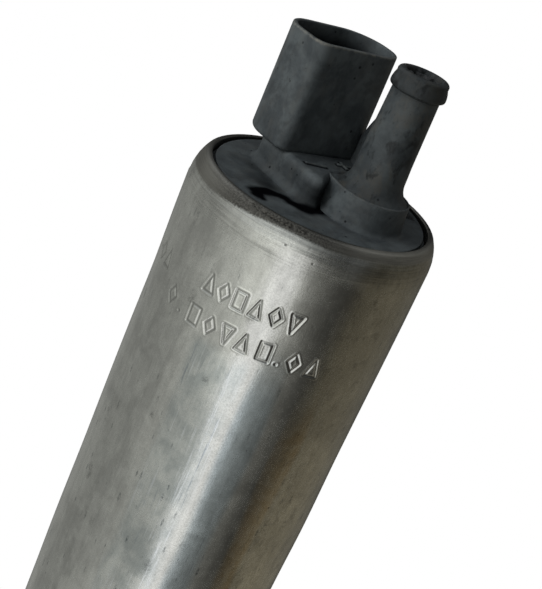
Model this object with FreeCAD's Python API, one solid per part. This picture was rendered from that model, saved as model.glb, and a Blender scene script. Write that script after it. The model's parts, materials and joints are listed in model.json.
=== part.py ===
import FreeCAD, Part
import math
import os

# In-tank fuel pump. Millimetres. The pump stands on its axis, which is +Z, with the outlet up.
# The origin is on the axis, level with the tip of the inlet stub. +X runs along the long side
# of the connector socket and +Y from the outlet stub towards the socket.

# Can: a thin tube whose two ends are rolled in over the end covers
CAN_RADIUS = 21.5
CAN_WALL = 1.2
CAN_LENGTH = 112.0
LIP_THICKNESS = 1.1
TOP_LIP_REACH = 2.4
TOP_SHOULDER = 5.0
TOP_CREST_ROUND = 1.1
TOP_LIP_FALL = 0.2
BORE_RUNS_PAST_SHOULDER = 0.4
BOTTOM_LIP_REACH = 3.5
BOTTOM_ROUND = 1.6

# Clearances
STATIC_FIT = 0.05
RUNNING_FIT = 0.03
SLIDING_FIT = 0.08
RUNNING_GAP = 0.3
AXIAL_PLAY = 0.06
SPRING_RESERVE = 0.5

# Cutting shapes run this far past the faces they open; joined shapes sink this far into each other
TOOL_REACH = 1.0
JOIN_DEPTH = 0.5
LEVEL_TOLERANCE = 0.01

# Inlet cover: closes the lower end, holds the inlet stub and the lower side channel
INLET_REACH = 9.0
INLET_COVER_THICKNESS = 10.0
INLET_STUB_RADIUS = 5.5
INLET_BORE_RADIUS = 4.0
INLET_STUB_INSET = 5.0
INLET_STUB_ROUND = 0.8
INLET_FACE_GAP = 0.6
INLET_PORT_SWEEP = 16.0

# Side channel stage: a vaned impeller runs between the inlet cover and the middle plate
IMPELLER_RING_WALL = 1.7
IMPELLER_THICKNESS = 4.2
VANE_COUNT = 24
VANE_LENGTH = 2.0
VANE_RIM = 0.9
VANE_WALL = 1.0
VANE_POCKET_DEPTH = 1.7
CHANNEL_DEPTH = 1.4
CHANNEL_FLOOR = 1.5
CHANNEL_SWEEP = 308.0
CHANNEL_START = 172.0
TRANSFER_SWEEP = 15.0
MIDDLE_PLATE_THICKNESS = 6.0

# Rotor stage: a six-lobed inner rotor turns a seven-toothed outer rotor
ROTOR_THICKNESS = 10.0
INNER_LOBES = 6
ECCENTRICITY = 1.4
TOOTH_INSET = 1.8
TOOTH_RADIUS = 3.2
TIP_CLEARANCE = 0.06
ROTOR_RING_WALL = 4.0
POINTS_PER_LOBE = 14
PORT_INSET = 0.8
PORT_WIDTH = 3.6
PORT_SWEEP = 130.0
PORT_DEPTH = 2.5
BEARING_PLATE_THICKNESS = 8.0

# Coupling between the shaft and the inner rotor
COUPLING_RADIUS = 4.2
COUPLING_THICKNESS = 2.6
LUG_WIDTH = 2.4
LUG_DEPTH = 4.0
LUG_INNER = 2.9

# Shaft and its bearings
SHAFT_RADIUS = 2.0
BUSH_RADIUS = 3.8
BUSH_LENGTH = 5.0
SHAFT_END = 0.5
THRUST_PAD_RADIUS = 2.6
THRUST_PAD_THICKNESS = 1.5
WASHER_RADIUS = 3.4
WASHER_THICKNESS = 0.5

# Motor: flux ring, magnets, armature
FLUX_RING_WALL = 2.75
MAGNET_THICKNESS = 4.9
MAGNET_SWEEP = 138.0
MAGNET_END_SETBACK = 4.0
CLIP_THICKNESS = 0.5
CLIP_LEG = 3.6
AIR_GAP = 0.55
CORE_SLOTS = 8
YOKE_WALL = 4.4
SLOT_WIDTH = 3.4
SLOT_MOUTH = 1.4
TOOTH_FACE = 1.1
CORE_BOTTOM_SETBACK = 9.5
INSULATOR_THICKNESS = 0.6
OVERHANG = 6.0
OVERHANG_ROOM = 2.2

# Commutator and brushes
COMMUTATOR_SETBACK = 0.8
COMMUTATOR_BORE = 5.0
COMMUTATOR_HUB_LENGTH = 5.6
SEGMENT_THICKNESS = 2.6
SEGMENT_GAP = 0.6
COLLAR_SINK = 0.8
HUB_WAIST = 1.2
HUB_RIM = 2.0
BRUSH_EDGE = 0.85
BRUSH_TANGENTIAL = 6.0
BRUSH_LENGTH = 8.5
BRUSH_TRAVEL = 2.0
BRUSH_WIRE = 0.45
BRUSH_SPRING_ROOM = 0.55
BRUSH_SPRING_TURNS = 5
LEAD_RADIUS = 0.4
TUNNEL_WALL = 1.0
TUNNEL_ROOM = 2.05
BUSH_WALL = 1.2
BUSH_LIP = 0.8

# Outlet cover: disc, skirt and the seat of the brush holder
DISC_GAP = 0.65
DISC_BEVEL = 0.2
COVER_SHOULDER_ROOM = 0.1
DISC_SINK = 0.5
DISC_THICKNESS = 2.5
DISC_EDGE_STEP = 1.2
SKIRT_LENGTH = 20.1
SKIRT_WALL = 3.05
SKIRT_LEDGE = 0.8
HOLDER_PLATE = 2.4
HOLDER_DROP = 13.5

# Platform on the disc, under the socket
PLATFORM_HEIGHT = 4.5
PLATFORM_LEFT = -7.2
PLATFORM_RIGHT = 8.0
PLATFORM_FRONT = -5.2
PLATFORM_BACK = 13.4
PLATFORM_FLARE = 1.2
PLATFORM_ROUND = 0.8
PLATFORM_CORE_WALL = 2.0
BOSS_CORE_WALL = 0.5
MARK_RAISE = 0.25
MARK_WIDTH = 0.55
MINUS_LENGTH = 4.0
PLUS_LENGTH = 2.6
MINUS_X = -4.2
PLUS_X = 3.0
MARK_ROW = 0.2

# Connector socket: an oval wall with one square end
SOCKET_X = 0.4
SOCKET_Y = 9.94
SOCKET_LENGTH = 19.35
SOCKET_WIDTH = 12.14
SOCKET_TOP = 22.87
SOCKET_WALL = 1.0
SOCKET_FLOOR = 2.2
SOCKET_DRAFT = 0.05
SOCKET_KEY_ROUND = 3.0
SOCKET_FRONT_ROUND = 5.2
SOCKET_BACK_ROUND = 5.9
SOCKET_RIM_ROUND = 0.25
SOCKET_LEAST_ROUND = 0.3

# Blade terminals
TERMINAL_SPACING = 7.4
TERMINAL_WIDTH = 2.8
TERMINAL_THICKNESS = 0.8
TERMINAL_SINK = 5.5
TERMINAL_TAIL_WIDTH = 1.6
TERMINAL_TAIL_DROP = 11.0
TERMINAL_TIP_LENGTH = 0.9
TERMINAL_TIP_INSET = 0.7

# Suppression chokes
CHOKE_ANGLE = 50.0
CHOKE_ROOM = 1.2
CHOKE_CORE_RADIUS = 1.5
CHOKE_DROP = 1.5
CHOKE_WIRE = 0.35
CHOKE_WIND_ROOM = 0.15
CHOKE_TURNS = 6
CHOKE_START_ANGLE = 10.0
CHOKE_FOOT = 1.7
CHOKE_HEAD = 0.5
CHOKE_LEAD_LIFT = 0.3

# Outlet stub with its boss
STUB_X = 3.03
STUB_Y = -7.56
BOSS_RADIUS = 6.5
BOSS_FLARE = 0.45
BOSS_FOOT_ROUND = 0.9
BOSS_RIM_ROUND = 0.2
BOSS_RIM_WIDTH = 0.35
BOSS_GROOVE = 0.15
NECK_RADIUS = 3.88
NECK_FLARE = 4.0
BEAD_RADIUS = 4.55
BEAD_STEP = 0.3
BEAD_BOTTOM = 21.85
BEAD_HEIGHT = 3.1
BEAD_CONE = 1.6
BEAD_ROUND = 0.75
MOUTH_RADIUS = 2.65
WEB_THICKNESS = 1.6
WEB_TOP = 17.5
WEB_FOOT = 7.9
WEB_ROUND = 2.0
WEB_STAND = 0.6
WEB_REACH_X = 7.3
WEB_REACH_Y = 4.6

# Check valve in the stub
VALVE_BORE = 2.9
PASSAGE_RADIUS = 1.9
VALVE_SEAT_HEIGHT = 5.6
VALVE_SEAT_THICKNESS = 1.0
VALVE_SEAT_HOLE = 1.6
POPPET_RADIUS = 2.4
POPPET_THICKNESS = 1.5
POPPET_STEM = 0.9
POPPET_ROUND = 0.4
GUIDE_GRIP = 1.0
CHECK_TRAVEL = 2.5
CHECK_WIRE = 0.35
CHECK_SPRING_RADIUS = 1.7
CHECK_SPRING_TURNS = 6
RETAINER_SINK = 0.7
RETAINER_WALL = 0.75
RETAINER_NOTCHES = 4
RETAINER_NOTCH_WIDTH = 1.3
RETAINER_NOTCH_DEPTH = 1.2
RETAINER_GUIDE_WALL = 0.45
RETAINER_BAR = 0.8
RETAINER_BAR_DROP = 0.6

# Relief valve in the outlet cover, which vents into a moulded pocket in the disc
RELIEF_EDGE = 3.75
RELIEF_Y = -2.5
RELIEF_BORE = 1.8
RELIEF_HOUSING = 2.8
RELIEF_SEAT_THICKNESS = 1.5
RELIEF_HOLE = 0.9
RELIEF_BALL = 1.3
SEAT_ROOM = 0.02
RELIEF_TRAVEL = 1.2
RELIEF_WIRE = 0.35
RELIEF_SPRING_RADIUS = 1.2
RELIEF_SPRING_TURNS = 5
RELIEF_PLUG_THICKNESS = 1.3
POCKET_WIDTH = 5.35
POCKET_EDGE = 0.7
POCKET_DEPTH = 1.1
POCKET_START = -23.0
POCKET_END = 14.0

# Seals
SEAL_RADIUS = 0.85
SEAL_SQUEEZE = 0.15
COVER_SEAL_DROP = 11.0
INLET_SEAL_RISE = 5.0

# Locating pins through the pump stages
PIN_RADIUS = 1.0
PIN_EDGE = 1.05
PIN_COUNT = 2
PIN_TURN = 90.0
PIN_END = 2.5

# Heights up the axis, each worked out from the pieces below or above it
CAN_BOTTOM = INLET_REACH
CAN_TOP = CAN_BOTTOM + CAN_LENGTH
CAN_BORE = CAN_RADIUS - CAN_WALL
TOP_LIP_EDGE = CAN_RADIUS - TOP_LIP_REACH
BOTTOM_LIP_EDGE = CAN_RADIUS - BOTTOM_LIP_REACH
STACK_RADIUS = CAN_BORE - STATIC_FIT
PIN_CIRCLE = STACK_RADIUS - PIN_RADIUS - PIN_EDGE
IMPELLER_RADIUS = PIN_CIRCLE - PIN_RADIUS - IMPELLER_RING_WALL
VANE_ROOT = IMPELLER_RADIUS - VANE_RIM - VANE_LENGTH
INLET_STUB_OFFSET = IMPELLER_RADIUS - INLET_STUB_INSET
OUTER_ROTOR_RADIUS = PIN_CIRCLE - PIN_RADIUS - ROTOR_RING_WALL
TOOTH_CIRCLE = OUTER_ROTOR_RADIUS - TOOTH_INSET
PORT_OUTER = TOOTH_CIRCLE - PORT_INSET
PORT_INNER = PORT_OUTER - PORT_WIDTH
SKIRT_INNER = STACK_RADIUS - SKIRT_WALL
INLET_COVER_BOTTOM = CAN_BOTTOM + LIP_THICKNESS
INLET_COVER_TOP = INLET_COVER_BOTTOM + INLET_COVER_THICKNESS
IMPELLER_RING_TOP = INLET_COVER_TOP + IMPELLER_THICKNESS
MIDDLE_PLATE_TOP = IMPELLER_RING_TOP + MIDDLE_PLATE_THICKNESS
ROTOR_RING_TOP = MIDDLE_PLATE_TOP + ROTOR_THICKNESS
BEARING_PLATE_TOP = ROTOR_RING_TOP + BEARING_PLATE_THICKNESS
DISC_TOP = CAN_TOP - DISC_SINK
DISC_BOTTOM = DISC_TOP - DISC_THICKNESS
SKIRT_BOTTOM = DISC_TOP - SKIRT_LENGTH
PLATFORM_TOP = CAN_TOP + PLATFORM_HEIGHT
SOCKET_RIM = CAN_TOP + SOCKET_TOP
STUB_TIP = CAN_TOP + BEAD_BOTTOM + BEAD_HEIGHT
HOLDER_TOP = DISC_TOP - HOLDER_DROP
HOLDER_BOTTOM = HOLDER_TOP - HOLDER_PLATE
FLUX_RING_BORE = STACK_RADIUS - FLUX_RING_WALL
MAGNET_OUTER = FLUX_RING_BORE - STATIC_FIT
MAGNET_INNER = MAGNET_OUTER - MAGNET_THICKNESS
MAGNET_BOTTOM = BEARING_PLATE_TOP + MAGNET_END_SETBACK
MAGNET_TOP = SKIRT_BOTTOM - MAGNET_END_SETBACK
CORE_RADIUS = MAGNET_INNER - AIR_GAP
OVERHANG_INNER = SHAFT_RADIUS + OVERHANG_ROOM
COMMUTATOR_RADIUS = CORE_RADIUS - COMMUTATOR_SETBACK
BRUSH_CIRCLE = (COMMUTATOR_RADIUS + COMMUTATOR_BORE) / 2.0
BRUSH_RADIAL = COMMUTATOR_RADIUS - COMMUTATOR_BORE - 2.0 * BRUSH_EDGE
BRUSH_SPRING_RADIUS = BRUSH_RADIAL / 2.0 - BRUSH_SPRING_ROOM
CHOKE_CIRCLE = SKIRT_INNER - SKIRT_LEDGE - CHOKE_ROOM - CHOKE_CORE_RADIUS - 2.0 * CHOKE_WIRE
CORE_BOTTOM = BEARING_PLATE_TOP + CORE_BOTTOM_SETBACK
WINDING_BOTTOM = CORE_BOTTOM - INSULATOR_THICKNESS - OVERHANG
BRUSH_SPRING_LENGTH = BRUSH_TRAVEL + BRUSH_SPRING_TURNS * BRUSH_WIRE + SPRING_RESERVE
TUNNEL_TOP = DISC_BOTTOM - TUNNEL_ROOM
BRUSH_TOP = TUNNEL_TOP - TUNNEL_WALL - BRUSH_SPRING_LENGTH
SEGMENT_TOP = BRUSH_TOP - BRUSH_LENGTH
SEGMENT_BOTTOM = SEGMENT_TOP - SEGMENT_THICKNESS
WINDING_TOP = SEGMENT_BOTTOM - COMMUTATOR_HUB_LENGTH
CORE_TOP = WINDING_TOP - OVERHANG - INSULATOR_THICKNESS
RETAINER_HEIGHT = CHECK_TRAVEL + GUIDE_GRIP + SPRING_RESERVE
RELIEF_SPRING_LENGTH = RELIEF_TRAVEL + RELIEF_SPRING_TURNS * RELIEF_WIRE + SPRING_RESERVE
SHAFT_BOTTOM = INLET_COVER_BOTTOM + INLET_COVER_THICKNESS / 2.0
SHAFT_HOLE = SHAFT_RADIUS + RUNNING_GAP
INLET_FACE_RADIUS = BOTTOM_LIP_EDGE - INLET_FACE_GAP
DISC_RADIUS = TOP_LIP_EDGE - DISC_GAP
RELIEF_X = DISC_RADIUS - RELIEF_EDGE
POCKET_INNER = DISC_RADIUS - POCKET_EDGE - POCKET_WIDTH
SOCKET_FRONT = SOCKET_Y - SOCKET_WIDTH / 2.0
OUTER_TEETH = INNER_LOBES + 1

nodes = {}


def point(x, y, z):
    return FreeCAD.Vector(x, y, z)


def cylinder(radius, low, high, x=0.0, y=0.0):
    return Part.makeCylinder(radius, high - low, point(x, y, low))


def ring(outer, inner, low, high, x=0.0, y=0.0):
    return cylinder(outer, low, high, x, y).cut(cylinder(inner, low, high, x, y))


def block(x0, x1, y0, y1, z0, z1):
    return Part.makeBox(x1 - x0, y1 - y0, z1 - z0, point(x0, y0, z0))


def line(a, b):
    return Part.LineSegment(point(a[0], 0.0, a[1]), point(b[0], 0.0, b[1])).toShape()


def arc(a, middle, b):
    ends = [point(p[0], 0.0, p[1]) for p in (a, middle, b)]
    return Part.Arc(ends[0], ends[1], ends[2]).toShape()


def turned(edges, x=0.0, y=0.0):
    """Revolve a closed profile of edges in the (radius, height) plane about the Z axis."""
    face = Part.Face(Part.Wire(edges))
    solid = face.revolve(point(0, 0, 0), point(0, 0, 1), 360.0)
    solid.translate(point(x, y, 0))
    return solid


def turned_polygon(corners, x=0.0, y=0.0):
    """Revolve a closed polygon of (radius, height) corners about the Z axis."""
    loop = list(corners) + [corners[0]]
    return turned([line(a, b) for a, b in zip(loop, loop[1:])], x, y)


def sector(outer, inner, low, high, start, sweep):
    """A ring cut down to the angles from start to start + sweep, in degrees."""
    wedge = Part.makeCylinder(outer, high - low, point(0, 0, low), point(0, 0, 1), sweep)
    wedge.rotate(point(0, 0, 0), point(0, 0, 1), start)
    return wedge.cut(cylinder(inner, low, high))


def turn(shape, angle):
    """A copy of the shape turned about the Z axis by an angle in degrees."""
    copy = shape.copy()
    copy.rotate(point(0, 0, 0), point(0, 0, 1), angle)
    return copy


def around(shape, count, start=0.0):
    return [turn(shape, start + 360.0 * i / count) for i in range(count)]


def cut_all(shape, tools):
    for tool in tools:
        shape = shape.cut(tool)
    return shape


def fuse_all(shapes):
    return shapes[0].multiFuse(shapes[1:]).removeSplitter()


def level_edges(shape, height):
    """The edges of a shape that lie wholly at one height."""
    found = []
    for edge in shape.Edges:
        box = edge.BoundBox
        if max(abs(box.ZMin - height), abs(box.ZMax - height)) < LEVEL_TOLERANCE:
            found.append(edge)
    return found


def coil(wire_radius, coil_radius, low, high, turns, x=0.0, y=0.0):
    """A round wire wound as a helix between two heights."""
    rise = high - low - 2.0 * wire_radius
    path = Part.makeLongHelix(rise / turns, rise, coil_radius)
    section = Part.Wire(Part.makeCircle(wire_radius, point(coil_radius, 0, 0), point(0, 1, 0)))
    solid = Part.Wire(path).makePipeShell([section], True, True)
    solid.translate(point(x, y, low + wire_radius))
    return solid


def bent_wire(radius, stops):
    """Straight round wires from stop to stop, joined by balls."""
    pieces = []
    for a, b in zip(stops, stops[1:]):
        start = point(*a)
        run = point(*b).sub(start)
        pieces.append(Part.makeCylinder(radius, run.Length, start, run))
    for stop in stops[1:-1]:
        pieces.append(Part.makeSphere(radius, point(*stop)))
    return fuse_all(pieces)


def seal_groove(height):
    depth = 2.0 * SEAL_RADIUS - SEAL_SQUEEZE
    half = SEAL_RADIUS + SEAL_SQUEEZE
    return ring(CAN_RADIUS, CAN_BORE - depth, height - half, height + half)


def seal(height):
    """A round-section ring between the can and a groove, drawn a little slimmer than the gap."""
    section = SEAL_RADIUS - SEAL_SQUEEZE
    centre = CAN_BORE - SEAL_RADIUS + SEAL_SQUEEZE / 2.0
    return Part.makeTorus(centre, section, point(0, 0, height))


def crest_arc_radius():
    """Radius of the shoulder arc that meets the crest arc and the can wall without a corner."""
    width = CAN_RADIUS - TOP_LIP_EDGE - TOP_LIP_FALL
    height = TOP_SHOULDER - TOP_CREST_ROUND
    return (width ** 2 + height ** 2 - TOP_CREST_ROUND ** 2) / (2.0 * (width - TOP_CREST_ROUND))


def pump_can():
    """Thin tube, its top rolled to a rounded shoulder with a flat lip, its foot rolled in."""
    crest_x = TOP_LIP_EDGE + TOP_LIP_FALL
    crest_z = CAN_TOP - TOP_CREST_ROUND
    shoulder = crest_arc_radius()
    centre_x = CAN_RADIUS - shoulder
    shoulder_z = CAN_TOP - TOP_SHOULDER
    meet = math.atan2(crest_z - shoulder_z, crest_x - centre_x)

    def on_shoulder(angle):
        return (centre_x + shoulder * math.cos(angle), shoulder_z + shoulder * math.sin(angle))

    def on_crest(angle):
        return (crest_x + TOP_CREST_ROUND * math.cos(angle), crest_z + TOP_CREST_ROUND * math.sin(angle))

    foot = BOTTOM_ROUND * (1.0 - math.sqrt(0.5))
    wall_top = (CAN_RADIUS, shoulder_z)
    joint = on_shoulder(meet)
    crest_middle = on_crest((meet + math.pi / 2.0) / 2.0)
    crest_top = (crest_x, CAN_TOP)
    lip_top = (TOP_LIP_EDGE, CAN_TOP - TOP_LIP_FALL)
    lip_under = (TOP_LIP_EDGE, CAN_TOP - LIP_THICKNESS)
    bore_top = (CAN_BORE, shoulder_z + BORE_RUNS_PAST_SHOULDER)
    bore_bottom = (CAN_BORE, INLET_COVER_BOTTOM)
    foot_inner_top = (BOTTOM_LIP_EDGE, INLET_COVER_BOTTOM)
    foot_inner = (BOTTOM_LIP_EDGE, CAN_BOTTOM)
    foot_start = (CAN_RADIUS - BOTTOM_ROUND, CAN_BOTTOM)
    foot_middle = (CAN_RADIUS - foot, CAN_BOTTOM + foot)
    foot_end = (CAN_RADIUS, CAN_BOTTOM + BOTTOM_ROUND)
    edges = [arc(wall_top, on_shoulder(meet / 2.0), joint), arc(joint, crest_middle, crest_top)]
    edges += [line(crest_top, lip_top), line(lip_top, lip_under), line(lip_under, bore_top)]
    edges += [line(bore_top, bore_bottom), line(bore_bottom, foot_inner_top)]
    edges += [line(foot_inner_top, foot_inner), line(foot_inner, foot_start)]
    edges += [arc(foot_start, foot_middle, foot_end), line(foot_end, wall_top)]
    return turned(edges)


def locating_holes(low, high):
    hole = cylinder(PIN_RADIUS + STATIC_FIT, low, high, PIN_CIRCLE, 0.0)
    return around(hole, PIN_COUNT, PIN_TURN)


def locating_pins():
    low = INLET_COVER_TOP - PIN_END
    high = ROTOR_RING_TOP + PIN_END
    return Part.makeCompound(around(cylinder(PIN_RADIUS, low, high, PIN_CIRCLE, 0.0), PIN_COUNT, PIN_TURN))


def side_channel(low, high):
    return sector(IMPELLER_RADIUS, VANE_ROOT, low, high, CHANNEL_START, CHANNEL_SWEEP)


def inlet_cover():
    """Lower end cover with the inlet stub, the lower side channel and the thrust pad's pocket."""
    body = cylinder(STACK_RADIUS, INLET_COVER_BOTTOM, INLET_COVER_TOP)
    face = cylinder(INLET_FACE_RADIUS, INLET_COVER_BOTTOM - LIP_THICKNESS / 2.0, INLET_COVER_TOP)
    x = -INLET_STUB_OFFSET
    stub = cylinder(INLET_STUB_RADIUS, 0.0, INLET_COVER_TOP, x)
    stub = stub.makeFillet(INLET_STUB_ROUND, level_edges(stub, 0.0))
    body = fuse_all([body, face, stub])
    bore_top = INLET_COVER_TOP - CHANNEL_DEPTH - CHANNEL_FLOOR
    body = body.cut(cylinder(INLET_BORE_RADIUS, 0.0, bore_top, x))
    port = sector(IMPELLER_RADIUS, VANE_ROOT, bore_top - TOOL_REACH, INLET_COVER_TOP,
                  180.0 - INLET_PORT_SWEEP / 2.0, INLET_PORT_SWEEP)
    body = body.cut(port)
    body = body.cut(side_channel(INLET_COVER_TOP - CHANNEL_DEPTH, INLET_COVER_TOP))
    pad_low = SHAFT_BOTTOM - THRUST_PAD_THICKNESS - AXIAL_PLAY
    body = body.cut(cylinder(SHAFT_HOLE, pad_low, INLET_COVER_TOP))
    body = body.cut(cylinder(THRUST_PAD_RADIUS + STATIC_FIT, pad_low, SHAFT_BOTTOM))
    body = body.cut(seal_groove(INLET_COVER_BOTTOM + INLET_SEAL_RISE))
    return cut_all(body, locating_holes(INLET_COVER_TOP - PIN_END, INLET_COVER_TOP))


def thrust_pad():
    high = SHAFT_BOTTOM - AXIAL_PLAY
    return cylinder(THRUST_PAD_RADIUS, high - THRUST_PAD_THICKNESS, high)


def impeller_ring():
    body = ring(STACK_RADIUS, IMPELLER_RADIUS + RUNNING_GAP, INLET_COVER_TOP, IMPELLER_RING_TOP)
    return cut_all(body, locating_holes(INLET_COVER_TOP, IMPELLER_RING_TOP))


def impeller():
    """Thin disc with a ring of pockets in each face that leave the vanes between them."""
    low = INLET_COVER_TOP + AXIAL_PLAY
    high = IMPELLER_RING_TOP - AXIAL_PLAY
    disc = ring(IMPELLER_RADIUS, SHAFT_RADIUS + STATIC_FIT, low, high)
    rim = IMPELLER_RADIUS - VANE_RIM
    middle = (VANE_ROOT + rim) / 2.0
    half = math.pi * middle / VANE_COUNT - VANE_WALL / 2.0
    lower = block(VANE_ROOT, rim, -half, half, low, low + VANE_POCKET_DEPTH)
    upper = block(VANE_ROOT, rim, -half, half, high - VANE_POCKET_DEPTH, high)
    pockets = around(lower, VANE_COUNT) + around(upper, VANE_COUNT)
    return disc.cut(Part.makeCompound(pockets))


def middle_plate():
    """Plate between the two stages, with the upper side channel and the rotor inlet port."""
    low = IMPELLER_RING_TOP
    high = MIDDLE_PLATE_TOP
    body = ring(STACK_RADIUS, SHAFT_HOLE, low, high)
    body = body.cut(side_channel(low, low + CHANNEL_DEPTH))
    floor = high - PORT_DEPTH
    body = body.cut(sector(PORT_OUTER, PORT_INNER, floor, high, 90.0 - PORT_SWEEP / 2.0, PORT_SWEEP))
    start = CHANNEL_START + CHANNEL_SWEEP - TRANSFER_SWEEP
    transfer = sector(IMPELLER_RADIUS, PORT_INNER, floor, high, start, TRANSFER_SWEEP)
    down = sector(IMPELLER_RADIUS, VANE_ROOT, low, high, start, TRANSFER_SWEEP)
    body = cut_all(body, [transfer, down])
    return cut_all(body, locating_holes(low, high))


def rotor_ring():
    """Ring whose bore, set off the shaft's axis, carries the outer rotor."""
    bore = cylinder(OUTER_ROTOR_RADIUS + SLIDING_FIT, MIDDLE_PLATE_TOP, ROTOR_RING_TOP, -ECCENTRICITY)
    body = cylinder(STACK_RADIUS, MIDDLE_PLATE_TOP, ROTOR_RING_TOP).cut(bore)
    return cut_all(body, locating_holes(MIDDLE_PLATE_TOP, ROTOR_RING_TOP))


def lobe_outline(height):
    """Inner rotor's outline: the curve that the outer rotor's tooth centres trace round the inner
    rotor as the two turn, moved inwards by the tooth radius and the tip clearance."""
    inset = TOOTH_RADIUS + TIP_CLEARANCE
    count = INNER_LOBES * POINTS_PER_LOBE
    points = []
    for i in range(count):
        t = 2.0 * math.pi * i / count
        turns = OUTER_TEETH * t
        x = TOOTH_CIRCLE * math.cos(t) + ECCENTRICITY * math.cos(turns)
        y = TOOTH_CIRCLE * math.sin(t) + ECCENTRICITY * math.sin(turns)
        dx = -TOOTH_CIRCLE * math.sin(t) - ECCENTRICITY * OUTER_TEETH * math.sin(turns)
        dy = TOOTH_CIRCLE * math.cos(t) + ECCENTRICITY * OUTER_TEETH * math.cos(turns)
        size = math.hypot(dx, dy)
        points.append(point(x - inset * dy / size, y + inset * dx / size, height))
    curve = Part.BSplineCurve()
    curve.interpolate(points, True)
    return Part.Wire(curve.toShape())


def lug(low, high, extra):
    """One driving lug, or with extra room the slot that takes it."""
    outer = COUPLING_RADIUS + extra
    half = LUG_WIDTH / 2.0 + extra
    bar = block(LUG_INNER - extra, outer + TOOL_REACH, -half, half, low, high)
    return bar.common(cylinder(outer, low, high))


def inner_rotor():
    low = MIDDLE_PLATE_TOP + AXIAL_PLAY
    high = ROTOR_RING_TOP - AXIAL_PLAY
    body = Part.Face(lobe_outline(low)).extrude(point(0, 0, high - low))
    body = body.cut(cylinder(SHAFT_RADIUS + STATIC_FIT, low, high))
    return cut_all(body, around(lug(high - LUG_DEPTH, high, STATIC_FIT), 2))


def outer_rotor():
    """Ring with seven round teeth inside; its axis stands off the shaft's axis."""
    low = MIDDLE_PLATE_TOP + AXIAL_PLAY
    high = ROTOR_RING_TOP - AXIAL_PLAY
    root = TOOTH_CIRCLE - TOOTH_RADIUS + 2.0 * ECCENTRICITY + TIP_CLEARANCE
    cavity = cylinder(root, low, high)
    teeth = around(cylinder(TOOTH_RADIUS, low, high, TOOTH_CIRCLE), OUTER_TEETH)
    body = cylinder(OUTER_ROTOR_RADIUS, low, high).cut(cut_all(cavity, teeth))
    body.translate(point(ECCENTRICITY, 0, 0))
    return turn(body, 180.0)


def bearing_plate():
    """Plate over the rotors with the outlet port, the coupling's recess and the lower bush."""
    low = ROTOR_RING_TOP
    high = BEARING_PLATE_TOP
    recess_top = low + COUPLING_THICKNESS + 2.0 * RUNNING_GAP
    body = cylinder(STACK_RADIUS, low, high)
    body = body.cut(cylinder(COUPLING_RADIUS + RUNNING_GAP, low, recess_top))
    body = body.cut(cylinder(SHAFT_HOLE, low, high))
    body = body.cut(cylinder(BUSH_RADIUS + STATIC_FIT, high - BUSH_LENGTH, high))
    body = body.cut(sector(PORT_OUTER, PORT_INNER, low, high, -90.0 - PORT_SWEEP / 2.0, PORT_SWEEP))
    return cut_all(body, locating_holes(low, low + PIN_END))


def drive_coupling():
    low = ROTOR_RING_TOP + RUNNING_GAP
    high = low + COUPLING_THICKNESS
    foot = ROTOR_RING_TOP - AXIAL_PLAY - LUG_DEPTH + STATIC_FIT
    hub = cylinder(COUPLING_RADIUS, low, high)
    body = fuse_all([hub] + around(lug(foot, high, 0.0), 2))
    return body.cut(cylinder(SHAFT_RADIUS + STATIC_FIT, low, high))


def bush(high):
    return ring(BUSH_RADIUS, SHAFT_RADIUS + RUNNING_FIT, high - BUSH_LENGTH, high)


def thrust_washer(low):
    return ring(WASHER_RADIUS, SHAFT_RADIUS + STATIC_FIT, low, low + WASHER_THICKNESS)


def armature_shaft():
    return cylinder(SHAFT_RADIUS, SHAFT_BOTTOM, HOLDER_BOTTOM + BUSH_LENGTH + SHAFT_END)


def flux_ring():
    return ring(STACK_RADIUS, FLUX_RING_BORE, BEARING_PLATE_TOP, SKIRT_BOTTOM)


def magnet(angle):
    start = angle - MAGNET_SWEEP / 2.0
    return sector(MAGNET_OUTER, MAGNET_INNER, MAGNET_BOTTOM, MAGNET_TOP, start, MAGNET_SWEEP)


def magnet_clip(angle):
    """Bent spring strip that lies on the flux ring and presses the two magnets apart."""
    low = MAGNET_BOTTOM + MAGNET_END_SETBACK
    high = MAGNET_TOP - MAGNET_END_SETBACK
    spread = 180.0 - MAGNET_SWEEP
    margin = math.degrees(STATIC_FIT / MAGNET_INNER)
    sweep = spread - 2.0 * margin
    start = angle - sweep / 2.0
    back = sector(MAGNET_OUTER, MAGNET_OUTER - CLIP_THICKNESS, low, high, start, sweep)
    leg_sweep = math.degrees(CLIP_THICKNESS / MAGNET_OUTER)
    inner = MAGNET_OUTER - CLIP_LEG
    first = sector(MAGNET_OUTER, inner, low, high, start, leg_sweep)
    second = sector(MAGNET_OUTER, inner, low, high, start + sweep - leg_sweep, leg_sweep)
    return fuse_all([back, first, second])


def slot_outline(low, high, shrink):
    """One winding slot of the core, or with shrink the copper in it."""
    outer = CORE_RADIUS - TOOTH_FACE - shrink
    inner = SHAFT_RADIUS + YOKE_WALL + shrink
    half = SLOT_WIDTH / 2.0 - shrink
    return block(inner, outer, -half, half, low, high)


def armature_core():
    """Stack of sheet steel with eight slots whose mouths open to the air gap."""
    body = ring(CORE_RADIUS, SHAFT_RADIUS + STATIC_FIT, CORE_BOTTOM, CORE_TOP)
    wide = slot_outline(CORE_BOTTOM, CORE_TOP, 0.0)
    half = SLOT_MOUTH / 2.0
    mouth = block(CORE_RADIUS - 2.0 * TOOTH_FACE, CORE_RADIUS + TOOL_REACH, -half, half,
                  CORE_BOTTOM, CORE_TOP)
    return body.cut(Part.makeCompound(around(wide.fuse(mouth), CORE_SLOTS)))


def end_insulator(low):
    high = low + INSULATOR_THICKNESS
    disc = ring(CORE_RADIUS - TOOTH_FACE / 2.0, SHAFT_RADIUS + STATIC_FIT, low, high)
    slots = around(slot_outline(low, high, 0.0), CORE_SLOTS)
    return disc.cut(Part.makeCompound(slots))


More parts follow.
